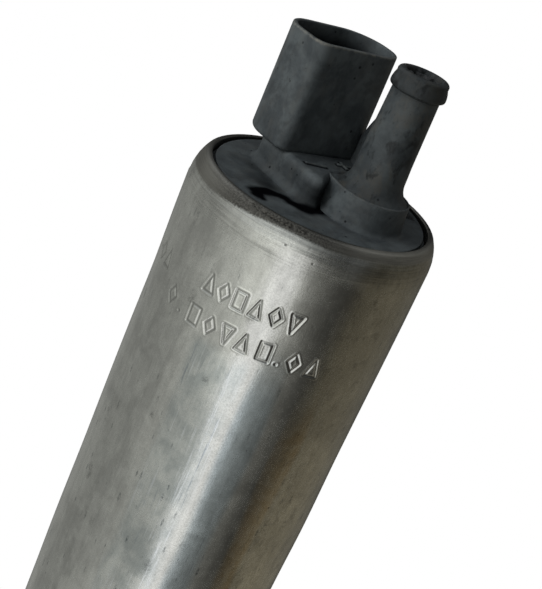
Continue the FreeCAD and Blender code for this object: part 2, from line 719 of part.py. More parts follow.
def overhang(low, high, flat):
    """Rounded ring of wire ends; flat is the height of its face on the core."""
    outer = CORE_RADIUS - TOOTH_FACE
    rounding = OVERHANG / 3.0
    body = ring(outer, OVERHANG_INNER, low, high)
    far = high if abs(flat - low) < abs(flat - high) else low
    return body.makeFillet(rounding, level_edges(body, far))


def armature_winding():
    """Copper in the slots, joined at both ends by the rings of wire ends."""
    bars = around(slot_outline(CORE_BOTTOM - INSULATOR_THICKNESS, CORE_TOP + INSULATOR_THICKNESS,
                               STATIC_FIT), CORE_SLOTS)
    low_flat = CORE_BOTTOM - INSULATOR_THICKNESS
    high_flat = CORE_TOP + INSULATOR_THICKNESS
    lower = overhang(WINDING_BOTTOM, low_flat, low_flat)
    upper = overhang(high_flat, WINDING_TOP, high_flat)
    return fuse_all([lower, upper] + bars)


def commutator_hub():
    """Moulded hub on the shaft that carries the copper segments on its upper face."""
    body = ring(COMMUTATOR_RADIUS, SHAFT_RADIUS + STATIC_FIT, WINDING_TOP, SEGMENT_BOTTOM)
    collar_top = SEGMENT_TOP - COLLAR_SINK
    collar = ring(COMMUTATOR_BORE - STATIC_FIT, SHAFT_RADIUS + STATIC_FIT, WINDING_TOP, collar_top)
    outside = COMMUTATOR_RADIUS + TOOL_REACH
    waist = ring(outside, COMMUTATOR_RADIUS - HUB_WAIST, WINDING_TOP, SEGMENT_BOTTOM - HUB_RIM)
    return body.fuse(collar).cut(waist).removeSplitter()


def commutator_segments():
    disc = ring(COMMUTATOR_RADIUS, COMMUTATOR_BORE, SEGMENT_BOTTOM, SEGMENT_TOP)
    half = SEGMENT_GAP / 2.0
    saw = block(0.0, COMMUTATOR_RADIUS + TOOL_REACH, -half, half, SEGMENT_BOTTOM, SEGMENT_TOP)
    cuts = around(saw, CORE_SLOTS, 180.0 / CORE_SLOTS)
    return disc.cut(Part.makeCompound(cuts))


def tunnel_space(low, high, extra):
    half_x = BRUSH_RADIAL / 2.0 + extra
    half_y = BRUSH_TANGENTIAL / 2.0 + extra
    return block(BRUSH_CIRCLE - half_x, BRUSH_CIRCLE + half_x, -half_y, half_y, low, high)


def carbon_brush(angle):
    return turn(tunnel_space(SEGMENT_TOP, BRUSH_TOP, 0.0), angle)


def brush_spring(angle):
    x = BRUSH_CIRCLE * math.cos(math.radians(angle))
    high = TUNNEL_TOP - TUNNEL_WALL
    return coil(BRUSH_WIRE / 2.0, BRUSH_SPRING_RADIUS, BRUSH_TOP, high, BRUSH_SPRING_TURNS, x)


def brush_lead(angle):
    x = BRUSH_CIRCLE * math.cos(math.radians(angle))
    return cylinder(LEAD_RADIUS, BRUSH_TOP, TUNNEL_TOP, x)


def brush_holder():
    """Plate inside the outlet cover with two brush tunnels and the upper bush."""
    plate = cylinder(SKIRT_INNER - STATIC_FIT, HOLDER_BOTTOM, HOLDER_TOP)
    bush_high = HOLDER_BOTTOM + BUSH_LENGTH
    boss = cylinder(BUSH_RADIUS + BUSH_WALL, HOLDER_BOTTOM, bush_high + BUSH_LIP)
    tunnels = around(tunnel_space(HOLDER_BOTTOM, TUNNEL_TOP, SLIDING_FIT + TUNNEL_WALL), 2)
    body = fuse_all([plate, boss] + tunnels)
    shafts = around(tunnel_space(HOLDER_BOTTOM, TUNNEL_TOP - TUNNEL_WALL, SLIDING_FIT), 2)
    leads = around(cylinder(LEAD_RADIUS + RUNNING_GAP, HOLDER_BOTTOM, TUNNEL_TOP, BRUSH_CIRCLE), 2)
    body = cut_all(body, shafts + leads)
    body = body.cut(cylinder(BUSH_RADIUS + STATIC_FIT, HOLDER_BOTTOM, bush_high))
    body = body.cut(cylinder(SHAFT_HOLE, HOLDER_BOTTOM, bush_high + BUSH_LIP))
    flow = cylinder(VALVE_BORE, HOLDER_BOTTOM, HOLDER_TOP, STUB_X, STUB_Y)
    vent = cylinder(RELIEF_BORE, HOLDER_BOTTOM, HOLDER_TOP, RELIEF_X, RELIEF_Y)
    return cut_all(body, [flow, vent])


def rounded_outline(inset, height, shrink):
    """Closed outline of the socket: one square corner, three generous ones."""
    left = SOCKET_X - SOCKET_LENGTH / 2.0 + inset + shrink
    right = SOCKET_X + SOCKET_LENGTH / 2.0 - inset - shrink
    front = SOCKET_FRONT + inset + shrink
    back = SOCKET_Y + SOCKET_WIDTH / 2.0 - inset - shrink
    key = max(SOCKET_KEY_ROUND - inset, SOCKET_LEAST_ROUND)
    near = SOCKET_FRONT_ROUND - inset
    far = SOCKET_BACK_ROUND - inset
    corners = [(left, front, key, 180.0), (right, front, near, 270.0)]
    corners += [(right, back, far, 0.0), (left, back, far, 90.0)]
    edges = []
    ends = []
    for x, y, radius, start in corners:
        cx = x + radius if x == left else x - radius
        cy = y + radius if y == front else y - radius
        stops = []
        for angle in (start, start + 45.0, start + 90.0):
            a = math.radians(angle)
            stops.append(point(cx + radius * math.cos(a), cy + radius * math.sin(a), height))
        ends.append(stops)
    for i, stops in enumerate(ends):
        edges.append(Part.Arc(stops[0], stops[1], stops[2]).toShape())
        edges.append(Part.LineSegment(stops[2], ends[(i + 1) % len(ends)][0]).toShape())
    return Part.Wire(edges)


def socket_outside():
    low = rounded_outline(0.0, PLATFORM_TOP, SOCKET_DRAFT)
    high = rounded_outline(0.0, SOCKET_RIM, 0.0)
    return Part.makeLoft([low, high], True, True)


def socket_inside():
    low = rounded_outline(SOCKET_WALL, PLATFORM_TOP + SOCKET_FLOOR, SOCKET_DRAFT)
    high = rounded_outline(SOCKET_WALL, SOCKET_RIM, 0.0)
    return Part.makeLoft([low, high], True, True)


def socket_wall():
    shell = socket_outside().cut(socket_inside())
    return shell.makeFillet(SOCKET_RIM_ROUND, level_edges(shell, SOCKET_RIM))


def rectangle(x0, x1, y0, y1, height):
    corners = [point(x0, y0, height), point(x1, y0, height), point(x1, y1, height), point(x0, y1, height)]
    return Part.makePolygon(corners + [corners[0]])


def platform():
    """Block under the socket, wider at its foot, with its upper edges and corners rounded."""
    flare = PLATFORM_FLARE
    low = rectangle(PLATFORM_LEFT - flare, PLATFORM_RIGHT + flare, PLATFORM_FRONT - flare / 2.0,
                    PLATFORM_BACK + flare, DISC_TOP - JOIN_DEPTH)
    high = rectangle(PLATFORM_LEFT, PLATFORM_RIGHT, PLATFORM_FRONT, PLATFORM_BACK, PLATFORM_TOP)
    body = Part.makeLoft([low, high], True, True)
    rounded = [e for e in body.Edges if e.BoundBox.ZMax > PLATFORM_TOP - LEVEL_TOLERANCE]
    return body.makeFillet(PLATFORM_ROUND, rounded)


def polarity_marks():
    """Raised plus and minus marks on the platform, in front of the terminals."""
    low = PLATFORM_TOP - JOIN_DEPTH
    high = PLATFORM_TOP + MARK_RAISE
    thick = MARK_WIDTH / 2.0
    marks = []
    for x, length in ((MINUS_X, MINUS_LENGTH), (PLUS_X, PLUS_LENGTH)):
        half = length / 2.0
        marks.append(block(x - half, x + half, MARK_ROW - thick, MARK_ROW + thick, low, high))
    half = PLUS_LENGTH / 2.0
    marks.append(block(PLUS_X - thick, PLUS_X + thick, MARK_ROW - half, MARK_ROW + half, low, high))
    return marks


def stub_outside():
    """Boss, flared neck and hose bead of the outlet stub, turned about the stub's own axis."""
    foot_z = DISC_TOP
    foot_radius = BOSS_RADIUS + BOSS_FLARE
    bend = BOSS_FOOT_ROUND * (1.0 - math.sqrt(0.5))
    rim_bend = BOSS_RIM_ROUND * (1.0 - math.sqrt(0.5))
    ledge_radius = BOSS_RADIUS - BOSS_RIM_WIDTH
    ledge_z = PLATFORM_TOP - BOSS_GROOVE
    flare_x = NECK_RADIUS + NECK_FLARE
    flare_z = ledge_z + math.sqrt(NECK_FLARE ** 2 - (flare_x - ledge_radius) ** 2)
    flare_start = math.atan2(ledge_z - flare_z, ledge_radius - flare_x)
    flare_turn = (flare_start + 3.0 * math.pi) / 2.0
    flare_middle = (flare_x + NECK_FLARE * math.cos(flare_turn),
                    flare_z + NECK_FLARE * math.sin(flare_turn))
    bead_z = CAN_TOP + BEAD_BOTTOM
    widest_z = bead_z + BEAD_CONE
    crown_z = STUB_TIP - BEAD_ROUND
    crown_x = BEAD_RADIUS - BEAD_ROUND
    crown_bend = BEAD_ROUND * math.sqrt(0.5)
    axis_low = (0.0, foot_z - JOIN_DEPTH)
    base = (foot_radius + BOSS_FOOT_ROUND, foot_z - JOIN_DEPTH)
    base_top = (foot_radius + BOSS_FOOT_ROUND, foot_z)
    foot_middle = (foot_radius + bend, foot_z + bend)
    foot_top = (foot_radius, foot_z + BOSS_FOOT_ROUND)
    rim_low = (BOSS_RADIUS, PLATFORM_TOP - BOSS_RIM_ROUND)
    rim_middle = (BOSS_RADIUS - rim_bend, PLATFORM_TOP - rim_bend)
    rim_top = (BOSS_RADIUS - BOSS_RIM_ROUND, PLATFORM_TOP)
    ledge = (ledge_radius, ledge_z)
    neck_low = (NECK_RADIUS, flare_z)
    neck_high = (NECK_RADIUS, bead_z)
    step = (NECK_RADIUS + BEAD_STEP, bead_z)
    widest = (BEAD_RADIUS, widest_z)
    crown_low = (BEAD_RADIUS, crown_z)
    crown_middle = (crown_x + crown_bend, crown_z + crown_bend)
    crown_top = (crown_x, STUB_TIP)
    axis_high = (0.0, STUB_TIP)
    edges = [line(axis_low, base), line(base, base_top), arc(base_top, foot_middle, foot_top)]
    edges += [line(foot_top, rim_low), arc(rim_low, rim_middle, rim_top), line(rim_top, ledge)]
    edges += [arc(ledge, flare_middle, neck_low), line(neck_low, neck_high), line(neck_high, step)]
    edges += [line(step, widest), line(widest, crown_low), arc(crown_low, crown_middle, crown_top)]
    edges += [line(crown_top, axis_high), line(axis_high, axis_low)]
    return turned(edges, STUB_X, STUB_Y)


def web():
    """Gusset from the back of the stub down to the corner of the socket."""
    reach = math.hypot(WEB_REACH_X - STUB_X, WEB_REACH_Y - STUB_Y)
    angle = math.degrees(math.atan2(WEB_REACH_Y - STUB_Y, WEB_REACH_X - STUB_X))
    low = PLATFORM_TOP - JOIN_DEPTH
    top = CAN_TOP + WEB_TOP
    foot = CAN_TOP + WEB_FOOT
    side = WEB_THICKNESS / 2.0
    corners = [(0.0, low), (0.0, top), (NECK_RADIUS, top), (reach - WEB_STAND, foot)]
    corners += [(reach + SOCKET_WALL, foot), (reach + SOCKET_WALL, low)]
    loop = [point(t, -side, z) for t, z in corners]
    body = Part.Face(Part.makePolygon(loop + [loop[0]])).extrude(point(0, WEB_THICKNESS, 0))
    bend_x = reach - WEB_STAND
    crease = [e for e in body.Edges
              if max(abs(e.BoundBox.XMin - bend_x), abs(e.BoundBox.XMax - bend_x)) < LEVEL_TOLERANCE]
    body = body.makeFillet(WEB_ROUND, crease)
    body = turn(body, angle)
    body.translate(point(STUB_X, STUB_Y, 0))
    return body


def cover_body():
    """Disc, stepped flange, skirt and the ledge that the brush holder seats on."""
    flange_top = DISC_TOP - DISC_EDGE_STEP
    slope = (CAN_BORE - TOP_LIP_EDGE) / (TOP_SHOULDER - BORE_RUNS_PAST_SHOULDER - LIP_THICKNESS)
    flange_edge = TOP_LIP_EDGE + slope * (CAN_TOP - LIP_THICKNESS - flange_top) - STATIC_FIT
    ledge_inner = SKIRT_INNER - SKIRT_LEDGE
    corners = [(0.0, DISC_BOTTOM), (0.0, DISC_TOP), (DISC_RADIUS - DISC_BEVEL, DISC_TOP)]
    corners += [(DISC_RADIUS, DISC_TOP - DISC_BEVEL), (DISC_RADIUS, flange_top), (flange_edge, flange_top)]
    bend_z = CAN_TOP - TOP_SHOULDER + BORE_RUNS_PAST_SHOULDER - COVER_SHOULDER_ROOM
    corners += [(STACK_RADIUS, bend_z), (STACK_RADIUS, SKIRT_BOTTOM)]
    corners += [(SKIRT_INNER, SKIRT_BOTTOM), (SKIRT_INNER, HOLDER_TOP), (ledge_inner, HOLDER_TOP)]
    corners += [(ledge_inner, DISC_BOTTOM)]
    return turned_polygon(corners)


def terminal_x(side):
    return SOCKET_X + side * TERMINAL_SPACING / 2.0


def terminal(side):
    """Flat blade with a pointed tip, and a narrower tail that goes down through the cover."""
    x = terminal_x(side)
    half = TERMINAL_WIDTH / 2.0
    tail = TERMINAL_TAIL_WIDTH / 2.0
    thick = TERMINAL_THICKNESS / 2.0
    high = SOCKET_RIM - TERMINAL_SINK
    low = PLATFORM_TOP + SOCKET_FLOOR
    bottom = DISC_BOTTOM - TERMINAL_TAIL_DROP
    corners = [(x - tail, bottom), (x + tail, bottom), (x + tail, low), (x + half, low)]
    tip = half - TERMINAL_TIP_INSET
    side_top = high - TERMINAL_TIP_LENGTH
    corners += [(x + half, side_top), (x + tip, high), (x - tip, high)]
    corners += [(x - half, side_top), (x - half, low), (x - tail, low)]
    loop = [point(a, SOCKET_Y - thick, z) for a, z in corners]
    return Part.Face(Part.makePolygon(loop + [loop[0]])).extrude(point(0, TERMINAL_THICKNESS, 0))


def terminal_slot(side):
    x = terminal_x(side)
    half = TERMINAL_TAIL_WIDTH / 2.0 + STATIC_FIT
    thick = TERMINAL_THICKNESS / 2.0 + STATIC_FIT
    return block(x - half, x + half, SOCKET_Y - thick, SOCKET_Y + thick, DISC_BOTTOM - TOOL_REACH,
                 SOCKET_RIM)


def outlet_cover():
    """Upper end cover in one moulding: disc, platform, socket wall, outlet stub and web."""
    relief_low = relief_floor()
    housing = cylinder(RELIEF_HOUSING, relief_low, DISC_BOTTOM + JOIN_DEPTH, RELIEF_X, RELIEF_Y)
    solids = [cover_body(), platform(), stub_outside(), web(), socket_wall(), housing]
    body = fuse_all(solids + polarity_marks())
    core = PLATFORM_CORE_WALL
    under = DISC_BOTTOM - TOOL_REACH
    above = DISC_TOP + TOOL_REACH
    hollow = block(PLATFORM_LEFT + core, PLATFORM_RIGHT - core, PLATFORM_FRONT + 2.0 * core,
                   PLATFORM_BACK - core, under, PLATFORM_TOP - core)
    hollow = hollow.cut(cylinder(BOSS_RADIUS + BOSS_CORE_WALL, under, PLATFORM_TOP, STUB_X, STUB_Y))
    seat_z = CAN_TOP + VALVE_SEAT_HEIGHT
    passage = cylinder(PASSAGE_RADIUS, under, seat_z, STUB_X, STUB_Y)
    bore_high = STUB_TIP - RETAINER_SINK
    bore = cylinder(VALVE_BORE, seat_z, bore_high, STUB_X, STUB_Y)
    mouth = cylinder(MOUTH_RADIUS, bore_high, STUB_TIP + TOOL_REACH, STUB_X, STUB_Y)
    pocket_z = DISC_TOP - POCKET_DEPTH
    pocket = sector(DISC_RADIUS - POCKET_EDGE, POCKET_INNER, pocket_z, above, POCKET_START,
                    POCKET_END - POCKET_START)
    relief = cylinder(RELIEF_BORE, relief_low - TOOL_REACH, above, RELIEF_X, RELIEF_Y)
    tools = [socket_inside(), hollow, passage, bore, mouth, pocket, relief]
    tools += [terminal_slot(-1), terminal_slot(1), seal_groove(DISC_TOP - COVER_SEAL_DROP)]
    return cut_all(body, tools)


def valve_seat():
    low = CAN_TOP + VALVE_SEAT_HEIGHT
    body = ring(VALVE_BORE - STATIC_FIT, VALVE_SEAT_HOLE, low, low + VALVE_SEAT_THICKNESS)
    body.translate(point(STUB_X, STUB_Y, 0))
    return body


def poppet_base():
    return CAN_TOP + VALVE_SEAT_HEIGHT + VALVE_SEAT_THICKNESS


def check_poppet():
    """Flat valve disc with a guide stem on top and a short nose in the seat."""
    low = poppet_base()
    disc = cylinder(POPPET_RADIUS, low, low + POPPET_THICKNESS, STUB_X, STUB_Y)
    disc = disc.makeFillet(POPPET_ROUND, level_edges(disc, low + POPPET_THICKNESS))
    stem = cylinder(POPPET_STEM, low, retainer_bottom() + GUIDE_GRIP, STUB_X, STUB_Y)
    return fuse_all([disc, stem])


def retainer_bottom():
    return STUB_TIP - RETAINER_SINK - RETAINER_HEIGHT


def check_spring():
    low = poppet_base() + POPPET_THICKNESS
    return coil(CHECK_WIRE / 2.0, CHECK_SPRING_RADIUS, low, retainer_bottom(), CHECK_SPRING_TURNS,
                STUB_X, STUB_Y)


def valve_retainer():
    """Notched ring pressed into the stub's mouth, with a cross that guides the valve stem."""
    low = retainer_bottom()
    high = low + RETAINER_HEIGHT
    outer = VALVE_BORE - STATIC_FIT
    inner = outer - RETAINER_WALL
    guide = POPPET_STEM + SLIDING_FIT
    bar_top = high - RETAINER_NOTCH_DEPTH - RETAINER_BAR_DROP
    wall = ring(outer, inner, low, high)
    half = RETAINER_BAR / 2.0
    bar = block(0.0, inner + RETAINER_WALL / 2.0, -half, half, low, bar_top)
    bars = around(bar, RETAINER_NOTCHES, 180.0 / RETAINER_NOTCHES)
    tube = cylinder(guide + RETAINER_GUIDE_WALL, low, bar_top)
    body = fuse_all([wall, tube] + bars).cut(cylinder(guide, low, high))
    gap = RETAINER_NOTCH_WIDTH / 2.0
    notch = block(inner - TOOL_REACH, outer + TOOL_REACH, -gap, gap, high - RETAINER_NOTCH_DEPTH, high)
    body = cut_all(body, around(notch, RETAINER_NOTCHES))
    body.translate(point(STUB_X, STUB_Y, 0))
    return body


def plug_bottom():
    return DISC_TOP - POCKET_DEPTH - RELIEF_PLUG_THICKNESS


def ball_centre():
    """The spring stands on the ball where the ball is as wide as the spring's inside."""
    touch = RELIEF_SPRING_RADIUS - RELIEF_WIRE
    return plug_bottom() - RELIEF_SPRING_LENGTH - math.sqrt(RELIEF_BALL ** 2 - touch ** 2) - STATIC_FIT


def relief_floor():
    """The seat's underside: the ball rests on the edge of the seat's hole with a hair of room."""
    drop = math.sqrt(RELIEF_BALL ** 2 - RELIEF_HOLE ** 2) + SEAT_ROOM
    return ball_centre() - drop - RELIEF_SEAT_THICKNESS


def relief_seat():
    low = relief_floor()
    return ring(RELIEF_BORE - STATIC_FIT, RELIEF_HOLE, low, low + RELIEF_SEAT_THICKNESS, RELIEF_X, RELIEF_Y)


def relief_ball():
    return Part.makeSphere(RELIEF_BALL, point(RELIEF_X, RELIEF_Y, ball_centre()))


def relief_spring():
    high = plug_bottom()
    return coil(RELIEF_WIRE / 2.0, RELIEF_SPRING_RADIUS, high - RELIEF_SPRING_LENGTH, high,
                RELIEF_SPRING_TURNS, RELIEF_X, RELIEF_Y)


def relief_plug():
    low = plug_bottom()
    return ring(RELIEF_BORE - STATIC_FIT, RELIEF_HOLE, low, low + RELIEF_PLUG_THICKNESS, RELIEF_X, RELIEF_Y)


def choke_top():
    return TUNNEL_TOP - CHOKE_DROP


def choke_place(side):
    angle = math.radians(CHOKE_ANGLE)
    return side * CHOKE_CIRCLE * math.cos(angle), CHOKE_CIRCLE * math.sin(angle)


def choke_core(side):
    x, y = choke_place(side)
    return cylinder(CHOKE_CORE_RADIUS, HOLDER_TOP, choke_top(), x, y)


def choke_winding(side):
    """Coil on the choke's core, with one lead to the brush and one to the terminal's tail."""
    x, y = choke_place(side)
    wire = CHOKE_WIRE
    radius = CHOKE_CORE_RADIUS + wire + CHOKE_WIND_ROOM
    high = choke_top() - CHOKE_HEAD
    low = HOLDER_TOP + CHOKE_FOOT
    start = 90.0 + 90.0 * side - CHOKE_START_ANGLE
    body = turn(coil(wire, radius, low, high, CHOKE_TURNS), start)
    body.translate(point(x, y, 0))
    end_x = x - side * radius
    brush_x = side * BRUSH_CIRCLE
    over = TUNNEL_TOP + LEAD_RADIUS + CHOKE_LEAD_LIFT
    to_brush = bent_wire(wire, [(end_x, y, high - wire), (end_x, y, over),
                                (brush_x, 0.0, over), (brush_x, 0.0, TUNNEL_TOP)])
    tail_x = terminal_x(side) + side * (TERMINAL_TAIL_WIDTH / 2.0 + STATIC_FIT)
    under = HOLDER_TOP + wire + STATIC_FIT
    to_tail = bent_wire(wire, [(end_x, y, low + wire), (end_x, y, under),
                               (tail_x, SOCKET_Y, under)])
    return fuse_all([body, to_brush, to_tail])


def save(name, shape):
    nodes[name] = shape


def build():
    save("pump_can", pump_can())
    save("inlet_cover", inlet_cover())
    save("inlet_seal", seal(INLET_COVER_BOTTOM + INLET_SEAL_RISE))
    save("thrust_pad", thrust_pad())
    save("impeller_ring", impeller_ring())
    save("impeller", impeller())
    save("middle_plate", middle_plate())
    save("rotor_ring", rotor_ring())
    save("inner_rotor", inner_rotor())
    save("outer_rotor", outer_rotor())
    save("bearing_plate", bearing_plate())
    save("drive_coupling", drive_coupling())
    save("locating_pins", locating_pins())
    save("lower_bush", bush(BEARING_PLATE_TOP))
    save("upper_bush", bush(HOLDER_BOTTOM + BUSH_LENGTH))
    save("armature_shaft", armature_shaft())
    save("lower_washer", thrust_washer(BEARING_PLATE_TOP + AXIAL_PLAY))
    save("flux_ring", flux_ring())
    save("magnet_right", magnet(0.0))
    save("magnet_left", magnet(180.0))
    save("magnet_clip_front", magnet_clip(270.0))
    save("magnet_clip_back", magnet_clip(90.0))
    save("armature_core", armature_core())
    save("lower_insulator", end_insulator(CORE_BOTTOM - INSULATOR_THICKNESS))
    save("upper_insulator", end_insulator(CORE_TOP))
    save("armature_winding", armature_winding())
    save("commutator_hub", commutator_hub())
    save("commutator_segments", commutator_segments())
    save("brush_holder", brush_holder())
    for name, side in (("left", -1), ("right", 1)):
        angle = 90.0 - 90.0 * side
        save("brush_" + name, carbon_brush(angle))
        save("brush_spring_" + name, brush_spring(angle))
        save("brush_lead_" + name, brush_lead(angle))
        save("choke_core_" + name, choke_core(side))
        save("choke_winding_" + name, choke_winding(side))
    save("negative_terminal", terminal(-1))
    save("positive_terminal", terminal(1))
    save("outlet_cover", outlet_cover())
    save("cover_seal", seal(DISC_TOP - COVER_SEAL_DROP))
    save("valve_seat", valve_seat())
    save("check_poppet", check_poppet())
    save("check_spring", check_spring())
    save("valve_retainer", valve_retainer())
    save("relief_seat", relief_seat())
    save("relief_ball", relief_ball())
    save("relief_spring", relief_spring())
    save("relief_plug", relief_plug())


def write():
    os.makedirs("parts", exist_ok=True)
    for name, shape in nodes.items():
        shape.exportStep("parts/" + name + ".step")
        print(name, "solids", len(shape.Solids), "volume", round(shape.Volume, 2), "valid", shape.isValid())


build()
write()
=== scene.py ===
import functools
import json
import logging
import math
from dataclasses import dataclass
from enum import Enum
from typing import Self

import bmesh
import bpy
import numpy as np
from mathutils import Matrix

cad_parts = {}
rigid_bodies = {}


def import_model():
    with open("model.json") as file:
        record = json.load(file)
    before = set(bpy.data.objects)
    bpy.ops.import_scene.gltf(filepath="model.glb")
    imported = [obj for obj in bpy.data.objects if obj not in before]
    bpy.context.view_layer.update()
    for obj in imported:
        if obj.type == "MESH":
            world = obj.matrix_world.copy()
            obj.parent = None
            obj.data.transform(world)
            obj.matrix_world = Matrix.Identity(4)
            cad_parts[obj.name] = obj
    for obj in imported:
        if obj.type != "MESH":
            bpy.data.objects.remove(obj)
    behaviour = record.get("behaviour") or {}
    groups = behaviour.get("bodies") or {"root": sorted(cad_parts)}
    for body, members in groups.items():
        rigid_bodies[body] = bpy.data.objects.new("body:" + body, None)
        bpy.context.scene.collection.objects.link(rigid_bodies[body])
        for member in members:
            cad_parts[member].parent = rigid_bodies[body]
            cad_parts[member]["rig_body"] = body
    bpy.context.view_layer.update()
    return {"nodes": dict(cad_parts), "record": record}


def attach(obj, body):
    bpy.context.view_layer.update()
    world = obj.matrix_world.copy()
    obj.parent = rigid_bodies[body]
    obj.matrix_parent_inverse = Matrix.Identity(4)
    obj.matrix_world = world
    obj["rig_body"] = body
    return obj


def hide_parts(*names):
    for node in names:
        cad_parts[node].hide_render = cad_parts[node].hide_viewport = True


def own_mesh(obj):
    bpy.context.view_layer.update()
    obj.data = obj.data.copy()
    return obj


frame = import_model()

LOG = logging.getLogger("in_tank_pump")
MM = 0.001
VIEW_TURN = math.radians(44.25)
CAN_RADIUS = 21.5
Triple = tuple[float, float, float]
PLAIN: Triple = (1.0, 1.0, 1.0)
UNTURNED: Triple = (0.0, 0.0, 0.0)
Socket = bpy.types.NodeSocket


# Shader building


class Graph:
    """Places shader nodes in one tree and joins them."""

    def __init__(self, tree: bpy.types.NodeTree) -> None:
        """Keeps the tree that the nodes go into."""
        self.tree = tree

    @classmethod
    def of(cls, owner: bpy.types.Material | bpy.types.World) -> Self:
        """A graph on the emptied node tree of a material or world.

        Args:
            owner: the material or world.
        Returns:
            The graph.
        """
        owner.use_nodes = True
        owner.node_tree.nodes.clear()
        return cls(owner.node_tree)

    def node(self, kind: str, **settings: object) -> bpy.types.Node:
        """Adds a node.

        Args:
            kind: the node's type name.
            settings: properties to set on it.
        Returns:
            The new node.
        """
        made = self.tree.nodes.new(kind)
        for key, value in settings.items():
            setattr(made, key, value)
        return made

    def feed(self, socket: Socket, value: object) -> None:
        """Joins an output to a socket, or sets a plain value on it.

        Args:
            socket: the input that takes the value.
            value: a socket, a number or a colour; None leaves the input as it is.
        """
        if isinstance(value, Socket):
            self.tree.links.new(value, socket)
        elif value is not None:
            if hasattr(socket.default_value, "__len__") and len(value) < len(socket.default_value):
                value = (*value, 1.0)
            socket.default_value = value

    def fed(self, kind: str, inputs: dict[str | int, object], **settings: object) -> bpy.types.NodeOutputs:
        """Adds a node with its inputs fed.

        Args:
            kind: the node's type name.
            inputs: what goes into its inputs, by name or number.
            settings: properties to set on it.
        Returns:
            Its outputs.
        """
        made = self.node(kind, **settings)
        for key, value in inputs.items():
            self.feed(made.inputs[key], value)
        return made.outputs

    def math(self, operation: str, a: object, b: object = None, clamp: bool = False) -> Socket:
        """One arithmetic step on values or sockets; clamp keeps the result between 0 and 1."""
        return self.fed("ShaderNodeMath", {0: a, 1: b}, operation=operation, use_clamp=clamp)[0]

    def product(self, *factors: object) -> Socket:
        """The product of values and sockets, from left to right."""
        return functools.reduce(functools.partial(self.math, "MULTIPLY"), factors)

    def total(self, *terms: object, clamp: bool = False) -> Socket:
        """The sum of values and sockets, from left to right; clamp keeps it between 0 and 1."""
        before = functools.reduce(functools.partial(self.math, "ADD"), terms[:-1])
        return self.math("ADD", before, terms[-1], clamp)

    def mix(self, share: object, a: object, b: object, blend: str = "MIX") -> Socket:
        """Mixes two colours; share is how much of the second one, 0 to 1."""
        inputs = {0: share, 6: a, 7: b}
        return self.fed("ShaderNodeMix", inputs, data_type="RGBA", blend_type=blend)[2]

    def tones(self, colour: object, *layers: tuple) -> Socket:
        """Multiplies a colour by one layer after another.

        Args:
            colour: the colour below.
            layers: each a share from 0 to 1, a factor, and a tint where it has one.
        Returns:
            The toned colour's socket.
        """
        for share, factor, *tint in layers:
            toned = tuple(factor * t for t in (tint[0] if tint else PLAIN))
            colour = self.mix(share, colour, toned, "MULTIPLY")
        return colour

    def coats(self, colour: object, *layers: tuple[object, object]) -> Socket:
        """Covers a colour with one coat after another.

        Args:
            colour: the colour below.
            layers: each a share from 0 to 1 and the coat's colour.
        Returns:
            The covered colour's socket.
        """
        for share, coat in layers:
            colour = self.mix(share, colour, coat)
        return colour

    def span(self, value: object, low: object, high: object, to_low: float = 0.0,
             to_high: float = 1.0) -> Socket:
        """Maps a value smoothly from the range low to high to the range to_low to to_high."""
        inputs = dict(enumerate((value, low, high, to_low, to_high)))
        return self.fed("ShaderNodeMapRange", inputs, interpolation_type="SMOOTHSTEP")[0]

    def noise(self, vector: object, scale: object, detail: float = 2.0, rough: float = 0.5,
              twist: float = 0.0) -> Socket:
        """Smooth noise with so many waves per unit and octaves, the finer ones weighted by rough."""
        return self.fed("ShaderNodeTexNoise", {"Vector": vector, "Scale": scale, "Detail": detail,
                                               "Roughness": rough, "Distortion": twist})[0]

    def stretch(self, vector: object, scale: Triple, turn: Triple = UNTURNED) -> Socket:
        """Coordinates scaled along each axis and turned by angles in radians."""
        return self.fed("ShaderNodeMapping", {"Vector": vector, "Scale": scale, "Rotation": turn})[0]

    def bump(self, height: object, distance: float) -> Socket:
        """The normal of a height field; distance is in metres for a height of 1."""
        return self.fed("ShaderNodeBump", {"Distance": distance, "Strength": 1.0, "Height": height})[0]

    def shown(self, output: str, shader: Socket) -> None:
        """Joins a shader to the output node of the material or world."""
        self.fed(output, {"Surface": shader})

    def millimetres(self) -> Socket:
        """Object coordinates in millimetres."""
        place = self.node("ShaderNodeTexCoord").outputs["Object"]
        return self.stretch(place, (1000.0, 1000.0, 1000.0))


class Effect(Enum):
    """Surface effects that several materials share, each one shader node group."""

    PATCHES = "cloudy_patches"
    SPECKS = "small_specks"
    WEAR = "worn_edges"
    GRAIN = "moulding_grain"
    SCRATCHES = "long_scratches"


